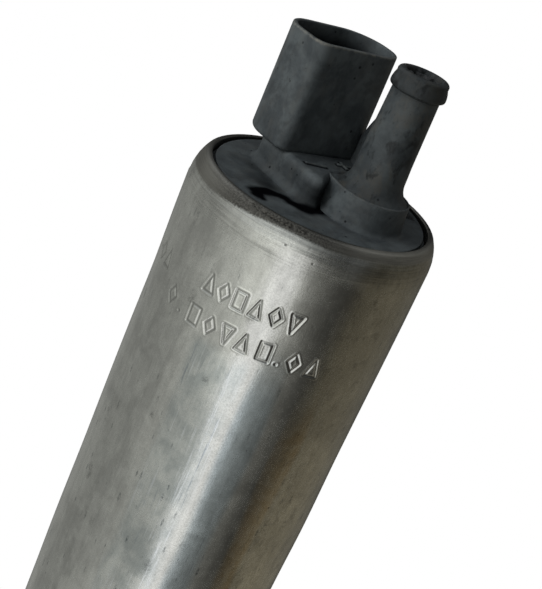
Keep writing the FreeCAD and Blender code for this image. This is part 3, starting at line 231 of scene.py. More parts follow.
class SharedEffects:
    """The shared node groups, each built once."""

    def __init__(self) -> None:
        """Builds every group."""
        makers = {Effect.PATCHES: self._patches, Effect.SPECKS: self._specks, Effect.WEAR: self._wear,
                  Effect.GRAIN: self._grain, Effect.SCRATCHES: self._scratches}
        self.made = {effect: make(effect) for effect, make in makers.items()}

    @staticmethod
    def _group(effect: Effect, output: str, **inputs: float | None) -> tuple:
        """Starts a group.

        Args:
            effect: which effect it holds.
            output: the name of its one output.
            inputs: socket names and plain values, None for a vector.
        Returns:
            The graph, its input sockets and its output socket.
        """
        tree = bpy.data.node_groups.new(effect.value, "ShaderNodeTree")
        for name, value in inputs.items():
            kind = "NodeSocketVector" if value is None else "NodeSocketFloat"
            socket = tree.interface.new_socket(name, in_out="INPUT", socket_type=kind)
            if value is not None:
                socket.default_value = value
        tree.interface.new_socket(output, in_out="OUTPUT", socket_type="NodeSocketFloat")
        graph = Graph(tree)
        return graph, graph.node("NodeGroupInput").outputs, graph.node("NodeGroupOutput").inputs[output]

    @classmethod
    def _patches(cls, effect: Effect) -> bpy.types.NodeTree:
        """Soft cloudy areas, a coarse noise broken up by a finer one.

        Args:
            effect: which effect it holds.
        Returns:
            The group.
        """
        g, given, out = cls._group(effect, "Mask", Place=None, Size=6.0, From=0.45, To=0.7)
        scale = g.math("DIVIDE", 1.0, given["Size"])
        coarse = g.noise(given["Place"], scale, 3.0, 0.6, 0.6)
        fine = g.noise(given["Place"], g.product(scale, 5.0), 3.0, 0.65)
        mixed = g.total(g.product(coarse, 0.72), g.product(fine, 0.28))
        g.feed(out, g.span(mixed, given["From"], given["To"]))
        return g.tree

    @classmethod
    def _specks(cls, effect: Effect) -> bpy.types.NodeTree:
        """Small dots at the points of a cell pattern; only some cells carry one.

        Args:
            effect: which effect it holds.
        Returns:
            The group.
        """
        g, given, out = cls._group(effect, "Mask", Place=None, Spacing=3.0, Radius=0.1, Share=0.5)
        scale = g.math("DIVIDE", 1.0, given["Spacing"])
        cells = g.fed("ShaderNodeTexVoronoi", {"Vector": given["Place"], "Scale": scale})
        drawn = g.fed("ShaderNodeSeparateColor", {0: cells["Color"]})
        reach = g.product(cells["Distance"], given["Spacing"])
        size = g.product(given["Radius"], g.total(drawn[1], 0.5))
        dot = g.math("SUBTRACT", 1.0, g.math("DIVIDE", reach, size), clamp=True)
        kept = g.math("LESS_THAN", drawn[0], given["Share"])
        g.feed(out, g.product(g.math("MULTIPLY", dot, 2.0, clamp=True), kept))
        return g.tree

    @classmethod
    def _wear(cls, effect: Effect) -> bpy.types.NodeTree:
        """Rubbed edges: the edge attribute eaten into by noise.

        Args:
            effect: which effect it holds.
        Returns:
            The group.
        """
        g, given, out = cls._group(effect, "Mask", Edge=0.0, Place=None, Amount=0.5)
        broken = g.noise(given["Place"], 1.1, 5.0, 0.7, 0.4)
        level = g.total(given["Edge"], g.product(g.total(broken, -0.5), 1.3))
        start = g.math("SUBTRACT", 1.15, given["Amount"])
        ramp = g.span(level, start, g.total(start, 0.5))
        g.feed(out, g.math("MULTIPLY", ramp, given["Edge"], clamp=True))
        return g.tree

    @classmethod
    def _grain(cls, effect: Effect) -> bpy.types.NodeTree:
        """Fine pebbled height of a moulded or blasted surface.

        Args:
            effect: which effect it holds.
        Returns:
            The group.
        """
        g, given, out = cls._group(effect, "Height", Place=None, Size=0.3)
        scale = g.math("DIVIDE", 1.0, given["Size"])
        fine = g.noise(given["Place"], scale, 4.0, 0.6)
        wide = g.noise(given["Place"], g.product(scale, 0.22), 2.0, 0.5)
        g.feed(out, g.total(g.product(fine, 0.65), g.product(wide, 0.35)))
        return g.tree

    @classmethod
    def _scratches(cls, effect: Effect) -> bpy.types.NodeTree:
        """Thin lines along the stretched direction of the given coordinates, in broken lengths.

        Args:
            effect: which effect it holds.
        Returns:
            The group.
        """
        g, given, out = cls._group(effect, "Mask", Stretched=None, Place=None, Scale=3.0, Amount=0.5)
        lines = g.noise(given["Stretched"], given["Scale"], 4.0, 0.75)
        gate = g.noise(given["Place"], 0.12, 3.0, 0.6)
        start = g.math("SUBTRACT", 0.86, g.product(given["Amount"], 0.3))
        level = g.total(lines, g.product(g.total(gate, -0.5), 0.35))
        g.feed(out, g.span(level, start, g.total(start, 0.12)))
        return g.tree


EFFECTS = SharedEffects()


class Surface(Graph):
    """The graph of one finish: its place in millimetres, mesh attributes and the shared effects."""

    def __init__(self, tree: bpy.types.NodeTree) -> None:
        """Adds the coordinates that every finish reads."""
        super().__init__(tree)
        self.place = self.millimetres()

    @functools.cached_property
    def axes(self) -> bpy.types.NodeOutputs:
        """The place's three coordinates, one socket each."""
        return self.fed("ShaderNodeSeparateXYZ", {0: self.place})

    def at(self, scale: Triple = PLAIN, turn: Triple = UNTURNED) -> Socket:
        """The place, scaled along the axes and turned by angles in radians."""
        plain = scale == PLAIN and turn == UNTURNED
        return self.place if plain else self.stretch(self.place, scale, turn)

    def attribute(self, name: str) -> Socket:
        """The value of a mesh attribute."""
        return self.node("ShaderNodeAttribute", attribute_name=name).outputs["Fac"]

    def effect(self, kind: Effect, **values: object) -> Socket:
        """Puts a shared group in the material, with the values that go into its inputs."""
        return self.fed("ShaderNodeGroup", values, node_tree=EFFECTS.made[kind])[0]

    def patches(self, size: float, low: float, high: float, *lie: Triple) -> Socket:
        """Cloudy patches of a size in millimetres, from the noise where they begin to where they are full;
        lie holds factors on the coordinates and then their turn."""
        return self.effect(Effect.PATCHES, Place=self.at(*lie), Size=size, From=low, To=high)

    def specks(self, spacing: float, radius: float, share: float, *lie: Triple) -> Socket:
        """Specks of a radius in a share of the cells, spaced in millimetres; lie holds factors on the
        coordinates, of which a small one draws the specks out, and then their turn."""
        return self.effect(Effect.SPECKS, Place=self.at(*lie), Spacing=spacing, Radius=radius, Share=share)

    def scratches(self, stretched: Socket, scale: float, amount: float) -> Socket:
        """Long scratches along stretched coordinates, with scale lines per unit across them."""
        return self.effect(Effect.SCRATCHES, Stretched=stretched, Place=self.place, Scale=scale,
                           Amount=amount)


# Finishes


def scaled(colour: Triple, factor: float) -> Triple:
    """The colour times a factor, held at 1."""
    return tuple(min(1.0, c * factor) for c in colour)


class Lay(Enum):
    """Which way the tool marks of a metal run, as stretching factors of the coordinates."""

    ROUND = (0.05, 0.05, 6.0)
    ALONG = (5.0, 5.0, 0.12)
    EVEN = (2.5, 2.5, 2.5)


@dataclass(frozen=True)
class Finish:
    """A finish with its slot in the record, its plain colour and its roughness."""

    slot: str
    colour: Triple
    roughness: float

    def material(self) -> bpy.types.Material:
        """Makes the material and its surface.

        Returns:
            The material.
        """
        made = bpy.data.materials.new(self.slot + "_finish")
        made.diffuse_color = (*self.colour, 1.0)
        surface = Surface.of(made)
        shader = surface.fed("ShaderNodeBsdfPrincipled", self.dress(surface))
        surface.shown("ShaderNodeOutputMaterial", shader[0])
        return made

    def dress(self, s: Surface) -> dict[str, object]:
        """The shader's sockets by name; each kind of finish has its own way."""
        raise NotImplementedError


@dataclass(frozen=True)
class WorkedMetal(Finish):
    """Turned, ground, drawn or plated metal with tool marks, tarnish and small pits."""

    lay: Lay = Lay.EVEN
    tarnish: Triple = (0.25, 0.22, 0.18)
    tarnish_share: float = 0.5
    depth: float = 0.00002

    def dress(self, s: Surface) -> dict[str, object]:
        """Tool marks drive the roughness and bump, cloudy tarnish the colour.

        Args:
            s: the material's graph.
        Returns:
            The shader's sockets by name.
        """
        marks = s.noise(s.at(self.lay.value), 3.0, 5.0, 0.7)
        cloud = s.patches(5.0, 0.42, 0.72)
        pits = s.specks(1.3, 0.12, 0.35)
        worked = s.mix(s.span(marks, 0.3, 0.7), scaled(self.colour, 0.72), scaled(self.colour, 1.18))
        return {
            "Base Color": s.coats(worked, (s.product(cloud, self.tarnish_share), self.tarnish),
                                  (s.product(pits, 0.7), scaled(self.colour, 0.35))),
            "Metallic": 1.0,
            "Roughness": s.total(s.span(marks, 0.25, 0.75, self.roughness - 0.08, self.roughness + 0.1),
                                 s.product(cloud, 0.12), clamp=True),
            "Normal": s.bump(s.total(marks, s.product(pits, -0.8)), self.depth),
        }


@dataclass(frozen=True)
class MouldedPlastic(Finish):
    """Plastic or pressed fibre with a fine grain, paler dust patches and dark specks."""

    dust: Triple = (0.2, 0.2, 0.2)
    dust_share: float = 0.3
    grain: float = 0.35
    depth: float = 0.000012

    def dress(self, s: Surface) -> dict[str, object]:
        """Grain drives the bump, dust and specks the colour and roughness.

        Args:
            s: the material's graph.
        Returns:
            The shader's sockets by name.
        """
        dust = s.patches(4.0, 0.4, 0.75)
        specks = s.specks(1.9, 0.11, 0.4)
        grain = s.effect(Effect.GRAIN, Place=s.place, Size=self.grain)
        return {
            "Base Color": s.coats(self.colour, (s.product(dust, self.dust_share), self.dust),
                                  (s.product(specks, 0.8), scaled(self.colour, 0.3))),
            "Roughness": s.total(s.span(grain, 0.3, 0.7, self.roughness - 0.06, self.roughness + 0.06),
                                 s.product(dust, 0.12), clamp=True),
            "Normal": s.bump(grain, self.depth),
        }


@dataclass(frozen=True)
class WoundCopper(Finish):
    """Enamelled wire laid side by side: fine ribs across the windings with darker lacquer between."""

    pitch: float = 0.45
    lacquer: Triple = (0.25, 0.09, 0.03)

    def dress(self, s: Surface) -> dict[str, object]:
        """Ribs from a wave round the axis, broken up by noise.

        Args:
            s: the material's graph.
        Returns:
            The shader's sockets by name.
        """
        inputs = {"Vector": s.place, "Scale": 0.32 / self.pitch, "Distortion": 3.0, "Detail": 2.0}
        wave = s.fed("ShaderNodeTexWave", inputs, wave_type="RINGS", rings_direction="SPHERICAL")
        ribs = wave["Fac"]
        lacquer = s.patches(3.0, 0.4, 0.7)
        wound = s.mix(ribs, scaled(self.colour, 0.35), self.colour)
        return {
            "Base Color": s.mix(s.product(lacquer, 0.6), wound, self.lacquer),
            "Metallic": 1.0,
            "Roughness": s.span(lacquer, 0.0, 1.0, self.roughness, self.roughness + 0.2),
            "Normal": s.bump(ribs, 0.00012),
        }


@dataclass(frozen=True)
class CanAluminium(Finish):
    """The can's drawn aluminium: cloudy grey, etched sparkle, axial rub lines, smudges, tarnish and painted
    shade on the right side, painted bluish shade right of the bright reflection, a narrow orange-brown
    band and a dark rolled lip. Sides are degrees from the camera's right, heights are millimetres."""

    lip_height: float = 119.4
    rubbed_side: float = -101.0
    # Painted bluish shade right of the bright reflection, on the next two sides.
    shaded_flank_side: float = -78.0
    painted_shade_side: float = -75.0
    # A narrow orange-brown tint, high on the right side.
    brown_band_side: float = -57.0
    # Tarnish and painted shade on the right side.
    tarnish_and_shade_side: float = -33.0
    high_border_side: float = -165.0
    low_border_side: float = -94.0
    pale_lip_sides: tuple = ((-168.0, (0.3, 0.29, 0.262)), (-38.0, (0.4, 0.38, 0.335)))

    @staticmethod
    def facing(s: Surface, azimuth: float, full: float, end: float) -> Socket:
        """A mask round one side of the can, from the cosine of the angle away from it.

        Args:
            s: the material's graph.
            azimuth: the middle of the side.
            full: half angle inside which the mask is 1.
            end: half angle at which it ends.
        Returns:
            The mask's socket.
        """
        way = math.radians(azimuth) - VIEW_TURN
        across = s.total(s.product(s.axes[0], math.cos(way) / CAN_RADIUS),
                         s.product(s.axes[1], math.sin(way) / CAN_RADIUS))
        return s.span(across, math.cos(math.radians(end)), math.cos(math.radians(full)))

    def noises(self, s: Surface) -> dict[str, Socket]:
        """Clouds, streaks, sparkle, smudges, pits, nicks and lines, by name.

        Args:
            s: the material's graph.
        Returns:
            A socket for each name.
        """
        lines = s.at((1.0, 1.0, 0.035))
        smudge_break = s.span(s.noise(s.place, 1.1, 4.0, 0.7), 0.4, 0.62)
        nick_break = s.span(s.noise(s.place, 2.2, 3.0, 0.7), 0.4, 0.55)
        return {
            "wide_cloud": s.patches(15.0, 0.4, 0.6, (1.0, 1.0, 0.7)),
            "cloud": s.patches(6.0, 0.36, 0.64, (1.0, 1.0, 0.8)),
            "streak": s.noise(s.at((1.0, 1.0, 0.03)), 0.8, 5.0, 0.7),
            "etched": s.noise(s.place, 3.6, 2.0, 0.7),
            "smudge": s.product(s.specks(3.8, 0.85, 0.34, (1.0, 1.0, 0.55), (0.2, 0.3, 0.0)), smudge_break),
            "pits": s.specks(3.4, 0.2, 0.4),
            "nicks": s.product(s.specks(1.3, 0.22, 0.8, (1.0, 1.0, 0.26), (0.12, -0.1, 0.0)), nick_break),
            "scratch": s.scratches(lines, 1.9, 1.08),
            "dark_lines": s.scratches(s.stretch(lines, PLAIN, (0.0, 0.0, 2.1)), 1.4, 0.9),
            "waves": s.patches(1.9, 0.5, 0.66, (1.0, 1.0, 0.6), (0.15, 0.1, 0.0)),
            "hoops": s.noise(s.at((0.02, 0.02, 1.0)), 5.0, 3.0, 0.7),
        }

    def areas(self, s: Surface, etched: Socket) -> dict[str, Socket]:
        """Sides and height bands that are treated apart, by name.

        Args:
            s: the material's graph.
            etched: the noise that frays the lip's border.
        Returns:
            A mask's socket for each name.
        """
        tall = s.axes[2]
        facing = functools.partial(self.facing, s)
        border = s.total(tall, s.product(s.total(etched, -0.5), 0.5),
                         facing(self.high_border_side, 10.0, 60.0),
                         s.product(facing(self.low_border_side, 8.0, 24.0), -0.55))
        return {
            "rubbed": s.product(facing(self.rubbed_side, 9.0, 15.0), s.span(tall, 98.5, 95.5)),
            # Painted bluish shade right of the bright reflection, low down and higher up.
            "painted_shade_band": s.product(facing(self.painted_shade_side, 4.0, 8.0), s.span(tall, 78.0, 70.0)),
            "shaded_flank": s.product(facing(self.shaded_flank_side, 3.0, 8.0), s.span(tall, 104.0, 90.0)),
            # Tarnish and painted shade on the right side.
            "tarnish_and_shade": facing(self.tarnish_and_shade_side, 20.0, 32.0),
            # A narrow orange-brown tint, high on the right side.
            "brown_band": s.product(facing(self.brown_band_side, 1.5, 6.0), s.span(tall, 96.0, 84.0)),
            "shoulder": s.span(tall, 113.0, 117.0),
            "lip": s.span(border, self.lip_height - 0.25, self.lip_height + 0.3),
        }

    def base_colour(self, s: Surface, m: dict[str, Socket]) -> Socket:
        """Layers from the drawn metal up to the dirt and painted shade in the stamping.

        Args:
            s: the material's graph.
            m: noises and areas by name.
        Returns:
            The colour's socket.
        """
        tall = s.axes[2]
        half_cloud = s.product(m["cloud"], 0.5)
        frosted = s.span(m["etched"], 0.3, 0.6, 0.7, 1.0)
        colour = s.tones(
            self.colour,
            (m["wide_cloud"], 0.86),
            (m["cloud"], 0.8),
            (s.span(m["streak"], 0.42, 0.66), 0.9),
            (s.span(m["etched"], 0.42, 0.62), 0.9),
            (s.product(m["smudge"], 0.75), 0.5),
            # Tarnish and painted shade: the right side browner, darker high up, and blotched.
            (s.product(m["tarnish_and_shade"], frosted), 0.86, (1.0, 0.92, 0.75)),
            (s.product(m["tarnish_and_shade"], s.span(tall, 78.0, 90.0)), 0.8),
            (s.product(m["tarnish_and_shade"], m["waves"], 0.6), 0.6),
            # A narrow orange-brown tint.
            (s.product(m["brown_band"], s.total(half_cloud, 0.35)), 1.0, (1.0, 0.8, 0.55)),
            # Painted bluish shade right of the bright reflection.
            (m["shaded_flank"], 1.0, (0.74, 0.82, 0.9)),
            (s.product(m["shoulder"], s.span(m["hoops"], 0.45, 0.6)), 0.8),
            (s.product(m["rubbed"], s.total(half_cloud, 0.2)), 0.9, (0.92, 1.0, 1.05)),
        )
        bright_lines = s.product(m["scratch"], s.total(s.product(m["rubbed"], 0.42), 0.04))
        colour = s.tones(
            s.mix(bright_lines, colour, (0.9, 0.93, 0.96)),
            (s.product(m["dark_lines"], m["rubbed"], 0.75), 0.62, (0.9, 0.98, 1.1)),
            # Dark lines, heaviest in the painted bluish shade right of the bright reflection.
            (s.product(m["dark_lines"], s.total(s.product(m["painted_shade_band"], 0.85), 0.12)), 0.3, (0.9, 0.97, 1.1)),
        )
        rolled = s.mix(s.span(m["etched"], 0.35, 0.62), (0.17, 0.16, 0.14), (0.08, 0.074, 0.065))
        rolled = s.coats(rolled, *((self.facing(s, side, 22.0, 48.0), pale)
                                   for side, pale in self.pale_lip_sides))
        rolled = s.tones(rolled, (s.span(m["hoops"], 0.46, 0.56), 0.8))
        return s.tones(
            s.mix(s.product(m["lip"], 0.93), colour, rolled),
            (s.product(m["nicks"], s.span(tall, 100.0, 60.0, 0.4, 0.85)), 0.36, (0.95, 1.0, 1.05)),
            (s.product(m["pits"], 0.8), 0.25),
            # Stamped grooves and tool teeth made darker: dirt and painted shade.
            (s.product(m["stamped"], 0.6), 0.42),
        )

    def dress(self, s: Surface) -> dict[str, object]:
        """Layers clouds, sparkle, streaks, scratches, smudges, tarnish with painted shade, painted bluish shade
        and the lip over the drawn metal.

        Args:
            s: the material's graph.
        Returns:
            The shader's sockets by name.
        """
        m = self.noises(s)
        m |= self.areas(s, m["etched"])
        # Depth of the stamping and tool teeth, which makes the colour darker as dirt and painted shade.
        m["stamped"] = s.attribute("wear")
        rough = s.total(s.span(m["cloud"], 0.0, 1.0, self.roughness + 0.03, self.roughness - 0.02),
                        s.span(m["etched"], 0.35, 0.65, -0.03, 0.05),
                        *(s.product(m[name], more) for name, more in
                          (("smudge", 0.08), ("tarnish_and_shade", 0.05), ("shoulder", 0.08), ("lip", 0.1))),
                        clamp=True)
        height = s.total(s.product(m["etched"], 0.008), s.product(m["streak"], 0.006),
                         s.product(m["scratch"], m["rubbed"], -0.002), s.product(m["pits"], -0.02),
                         s.product(m["nicks"], -0.006), s.product(m["shoulder"], m["hoops"], 0.012),
                         s.product(m["tarnish_and_shade"], m["waves"], -0.006))
        return {"Base Color": self.base_colour(s, m), "Metallic": 1.0, "Roughness": rough,
                "Normal": s.bump(height, MM)}


@dataclass(frozen=True)
class CoverPlastic(Finish):
    """The outlet cover's dull black moulding: grey-blue bloom, brownish film, thin rubbed edges, black
    specks, and near-black greasy dirt with painted shade; the outlet stub is the dirtiest."""

    bloom: Triple = (0.09, 0.103, 0.107)
    film: Triple = (0.088, 0.08, 0.066)
    rubbed: Triple = (0.17, 0.165, 0.145)
    stub_axis: tuple[float, float] = (3.03, -7.56)

    def stub_dirt(self, s: Surface) -> tuple[Socket, Socket]:
        """Where the stub stands, and how dirty it is by height: most at its foot and at its bead.

        Args:
            s: the material's graph.
        Returns:
            The two masks' sockets.
        """
        tall = s.axes[2]
        offsets = [s.total(s.axes[i], -self.stub_axis[i]) for i in range(2)]
        near = s.span(s.total(*(s.product(o, o) for o in offsets)), 44.0, 34.0)
        dirt = s.total(s.span(tall, 131.0, 126.0, 0.3, 0.65), s.span(tall, 141.5, 143.5, 0.0, 0.5))
        return s.product(near, s.span(tall, 125.1, 125.5)), dirt

    def dress(self, s: Surface) -> dict[str, object]:
        """Bloom and film patches, rubbed edges from the wear attribute, greasy dirt and painted shade from
        their own attribute.

        Args:
            s: the material's graph.
        Returns:
            The shader's sockets by name.
        """
        bloom = s.patches(5.0, 0.36, 0.66)
        film = s.patches(4.6, 0.46, 0.68, (1.3, 1.3, 0.8), (0.5, 0.2, 0.0))
        smear = s.patches(2.6, 0.5, 0.64, (1.0, 1.0, 0.6))
        specks = s.specks(2.0, 0.24, 0.42)
        small = s.specks(1.0, 0.1, 0.4, (1.3, 1.3, 1.3))
        dust = s.specks(1.1, 0.07, 0.35, (1.1, 1.1, 1.1), (0.7, 0.0, 0.4))
        grain = s.effect(Effect.GRAIN, Place=s.place, Size=0.22)
        # Greasy dirt and painted shade: along the platform's foot, inside the socket and down the stub's bore.
        grease_and_shade = s.attribute("grease_and_shade")
        wear = s.effect(Effect.WEAR, Edge=s.attribute("wear"), Place=s.place, Amount=0.5)
        scratch = s.scratches(s.at((1.6, 0.08, 0.7)), 2.4, 0.42)
        stub, dirt = self.stub_dirt(s)
        colour = s.coats(
            self.colour,
            (s.product(bloom, 0.8), self.bloom),
            (s.product(film, s.total(s.product(stub, 0.42), 0.2)), self.film),
            (s.product(smear, s.total(s.product(stub, 0.5), 0.35)), scaled(self.colour, 0.3)),
        )
        colour = s.coats(
            s.tones(colour, (s.product(stub, dirt), 0.3)),
            (s.product(scratch, 0.3), (0.11, 0.115, 0.115)),
            (s.product(dust, 0.3), (0.17, 0.17, 0.16)),
            (s.product(wear, 0.8), self.rubbed),
            (s.product(small, 0.7), (0.006, 0.006, 0.007)),
            (s.product(specks, 0.9), (0.004, 0.004, 0.005)),
            # Near-black where that attribute is high, for greasy dirt and painted shade.
            (grease_and_shade, (0.0022, 0.0022, 0.0028)),
        )
        rough = s.total(s.span(grain, 0.3, 0.7, self.roughness - 0.06, self.roughness + 0.06),
                        s.product(smear, -0.06), s.product(specks, 0.25), s.product(grease_and_shade, 0.2), clamp=True)
        height = s.total(s.product(grain, 0.02), s.product(bloom, 0.012), s.product(scratch, -0.006),
                         s.product(specks, -0.02))
        # No specular sheen where the greasy dirt and painted shade lie.
        return {"Base Color": colour, "Roughness": rough, "Normal": s.bump(height, MM),
                "Specular IOR Level": s.span(grease_and_shade, 0.0, 1.0, 0.32, 0.0)}


FINISHES: dict[str, Finish] = {
    f.slot: f
    for f in (
        CanAluminium("can", (0.85, 0.855, 0.815), 0.2),
        CoverPlastic("cover_plastic", (0.044, 0.051, 0.055), 0.5),
        WorkedMetal("inlet_metal", (0.58, 0.58, 0.56), 0.42, Lay.ROUND, (0.3, 0.28, 0.24), 0.5),
        WorkedMetal("plate_metal", (0.56, 0.56, 0.55), 0.36, Lay.ROUND, (0.4, 0.38, 0.34), 0.3),
        MouldedPlastic("impeller_plastic", (0.28, 0.18, 0.1), 0.5, (0.4, 0.3, 0.2), 0.3),
        WorkedMetal("rotor_steel", (0.4, 0.39, 0.38), 0.4, Lay.EVEN, (0.25, 0.22, 0.19), 0.4),
        WorkedMetal("shaft_steel", (0.66, 0.66, 0.67), 0.24, Lay.ROUND, (0.45, 0.42, 0.36), 0.2),
        WorkedMetal("flux_steel", (0.5, 0.49, 0.47), 0.42, Lay.ALONG, (0.35, 0.31, 0.22), 0.4),
        WorkedMetal("spring_steel", (0.58, 0.58, 0.59), 0.3, Lay.EVEN, (0.4, 0.37, 0.3), 0.3),
        MouldedPlastic("magnet_ferrite", (0.075, 0.075, 0.08), 0.55, (0.15, 0.14, 0.14), 0.35, 0.5),
        WorkedMetal("core_steel", (0.36, 0.36, 0.37), 0.45, Lay.ROUND, (0.22, 0.16, 0.11), 0.4, 0.00006),
        WoundCopper("copper_wire", (0.62, 0.27, 0.11), 0.35),
        WorkedMetal("copper_segment", (0.72, 0.36, 0.2), 0.3, Lay.ROUND, (0.22, 0.13, 0.1), 0.5),
        MouldedPlastic("hub_plastic", (0.14, 0.06, 0.035), 0.5, (0.22, 0.13, 0.09), 0.3),
        MouldedPlastic("insulator_plastic", (0.5, 0.44, 0.3), 0.65, (0.38, 0.32, 0.2), 0.5),
        MouldedPlastic("holder_plastic", (0.17, 0.17, 0.18), 0.5, (0.26, 0.26, 0.25), 0.35),
        MouldedPlastic("brush_carbon", (0.06, 0.06, 0.065), 0.45, (0.13, 0.13, 0.13), 0.4, 0.18),
        WorkedMetal("lead_copper", (0.66, 0.32, 0.16), 0.4, Lay.ALONG, (0.25, 0.14, 0.09), 0.5, 0.00008),
        MouldedPlastic("choke_ferrite", (0.09, 0.085, 0.085), 0.6, (0.18, 0.17, 0.16), 0.4, 0.25),
        WorkedMetal("bush_bronze", (0.58, 0.39, 0.17), 0.38, Lay.EVEN, (0.3, 0.19, 0.1), 0.5),
        MouldedPlastic("thrust_ceramic", (0.76, 0.75, 0.71), 0.22, (0.6, 0.58, 0.52), 0.3),
        MouldedPlastic("seal_rubber", (0.03, 0.03, 0.03), 0.6, (0.08, 0.08, 0.075), 0.4, 0.5),
        WorkedMetal("terminal_tin", (0.62, 0.6, 0.54), 0.34, Lay.ALONG, (0.35, 0.29, 0.19), 0.45),
        MouldedPlastic("poppet_plastic", (0.6, 0.57, 0.5), 0.4, (0.45, 0.4, 0.3), 0.4),
        MouldedPlastic("retainer_plastic", (0.035, 0.037, 0.04), 0.5, (0.09, 0.09, 0.09), 0.4, 0.25),
    )
}


@functools.cache
def material_for(slot: str) -> bpy.types.Material:
    """The one material of a slot, made when first asked for."""
    return FINISHES[slot].material()


# Meshes from grids


def placed(name: str, data: bpy.types.ID) -> bpy.types.Object:
    """A new object with the data, linked to the scene.

    Args:
        name: its name.
        data: its data.
    Returns:
        The object.
    """
    made = bpy.data.objects.new(name, data)
    bpy.context.scene.collection.objects.link(made)
    return made


def add_piece(name: str, mesh: bpy.types.Mesh, slot: str, body: str, *stands_for: str) -> bpy.types.Object:
    """Adds a mesh as a visible piece of the pump.

    Args:
        name: the piece's name.
        mesh: its mesh.
        slot: the material slot of the record.
        body: the CAD body that it rides on.
        stands_for: CAD nodes that it replaces.
    Returns:
        The object.
    """
    mesh.materials.clear()
    mesh.materials.append(material_for(slot))
    made = placed(name, mesh)
    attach(made, body)
    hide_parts(*stands_for)
    LOG.info("%s in %s: %d faces", name, slot, len(mesh.polygons))
    return made


def weld(mesh: bpy.types.Mesh, drop_last: int = 0) -> None:
    """Merges points that lie together.

    Args:
        mesh: the mesh to change.
        drop_last: how many of its last points go first, with their faces.
    """
    work = bmesh.new()
    work.from_mesh(mesh)
    work.verts.ensure_lookup_table()
    for vertex in list(work.verts)[len(work.verts) - drop_last:]:
        work.verts.remove(vertex)
    bmesh.ops.remove_doubles(work, verts=work.verts, dist=2e-6)
    work.to_mesh(mesh)
    work.free()


def grid_quads(rows: int, columns: int) -> np.ndarray:
    """Corner numbers of the quads of a grid whose columns close round: row, next column, next row.

    Args:
        rows: number of rows.
        columns: number of columns.
    Returns:
        The corner numbers by row and column.
    """
    here = np.arange(rows * columns).reshape(rows, columns)
    beside = np.roll(here, -1, axis=1)
    return np.stack([here[:-1], beside[:-1], beside[1:], here[1:]], -1)


@dataclass
class Sheet:
    """A surface as rows of points; each row is a closed loop round the piece, in millimetres. It is capped
    at both ends, or closed like a tube bent into a ring, where the last row lies on the first."""

    name: str
    points: np.ndarray
    wear: np.ndarray | None = None
    # Greasy dirt and painted shade, which make the colour near-black.
    grease_and_shade: np.ndarray | None = None
    sharp_degrees: float = 40.0
    closed: bool = False

    @staticmethod
    def volume(corners: np.ndarray, faces: np.ndarray) -> float:
        """Signed volume inside the faces: one sixth of the sum of the triangles' triple products.

        Args:
            corners: vertex positions.
            faces: vertex indices of the quads.
        Returns:
            The volume, positive when the faces point outwards.
        """
        a, b, c, d = (corners[faces[:, i]] for i in range(4))
        first = np.einsum("ij,ij->i", a, np.cross(b, c)).sum()
        return float(first + np.einsum("ij,ij->i", a, np.cross(c, d)).sum()) / 6.0

    def faces(self, corners: np.ndarray) -> tuple[np.ndarray, np.ndarray]:
        """Quads between the rows and a fan to a centre point at each end, turned outwards.

        Args:
            corners: the grid's points and then the two centres.
        Returns:
            The quads and the triangles.
        """
        rows, columns, _ = self.points.shape
        here = np.arange(rows * columns).reshape(rows, columns)
        start, end = here[0], here[-1]
        after_start, after_end = np.roll(start, -1), np.roll(end, -1)
        quads = grid_quads(rows, columns).reshape(-1, 4)
        first = np.stack([np.full(columns, here.size), after_start, start, start], -1)
        last = np.stack([np.full(columns, here.size + 1), end, after_end, after_end], -1)
        if self.volume(corners, np.vstack([quads, first, last])) < 0.0:
            quads, first, last = quads[:, ::-1], first[:, [0, 2, 1, 1]], last[:, [0, 2, 1, 1]]
        return quads, np.vstack([first[:, :3], last[:, :3]])

    def build(self, slot: str, body: str, *stands_for: str) -> bpy.types.Object:
        """Makes the mesh object with its wear attribute and its attribute of greasy dirt and painted shade.

        Args:
            slot: the material slot of the record.
            body: the CAD body that the piece rides on.
            stands_for: CAD nodes that it replaces.
        Returns:
            The object.
        """
        rows, columns, _ = self.points.shape
        count = rows * columns
        corners = np.vstack([self.points.reshape(-1, 3), self.points[0].mean(0), self.points[-1].mean(0)])
        quads, fans = self.faces(corners)
        mesh = bpy.data.meshes.new(self.name)
        mesh.vertices.add(len(corners))
        mesh.vertices.foreach_set("co", (corners * MM).astype(np.float32).ravel())
        loops = np.concatenate([quads.ravel(), fans.ravel()])
        mesh.loops.add(len(loops))
        mesh.loops.foreach_set("vertex_index", loops.astype(np.int32))
        starts = np.concatenate([np.arange(len(quads)) * 4, len(quads) * 4 + np.arange(len(fans)) * 3])
        mesh.polygons.add(len(starts))
        mesh.polygons.foreach_set("loop_start", starts.astype(np.int32))
        mesh.update(calc_edges=True)
        mesh.validate()
        mesh.shade_smooth()
        mesh.set_sharp_from_angle(angle=math.radians(self.sharp_degrees))
        for name, values in (("wear", self.wear), ("grease_and_shade", self.grease_and_shade)):
            layer = mesh.attributes.new(name, "FLOAT", "POINT")
            spread = np.zeros(len(corners), np.float32)
            if values is not None:
                spread[:count] = np.broadcast_to(values, (rows, columns)).ravel()
                spread[count:] = spread[0], spread[count - 1]
            layer.data.foreach_set("value", spread)
        if self.closed:
            weld(mesh, drop_last=2)
        return add_piece(self.name, mesh, slot, body, *stands_for)


def arc_points(centre: tuple[float, float], radius: float, start: float, end: float, count: int) -> np.ndarray:
    """So many points on a circle in the plane, from one angle in degrees to another."""
    t = np.radians(np.linspace(start, end, count))
    return np.stack([centre[0] + radius * np.cos(t), centre[1] + radius * np.sin(t)], -1)


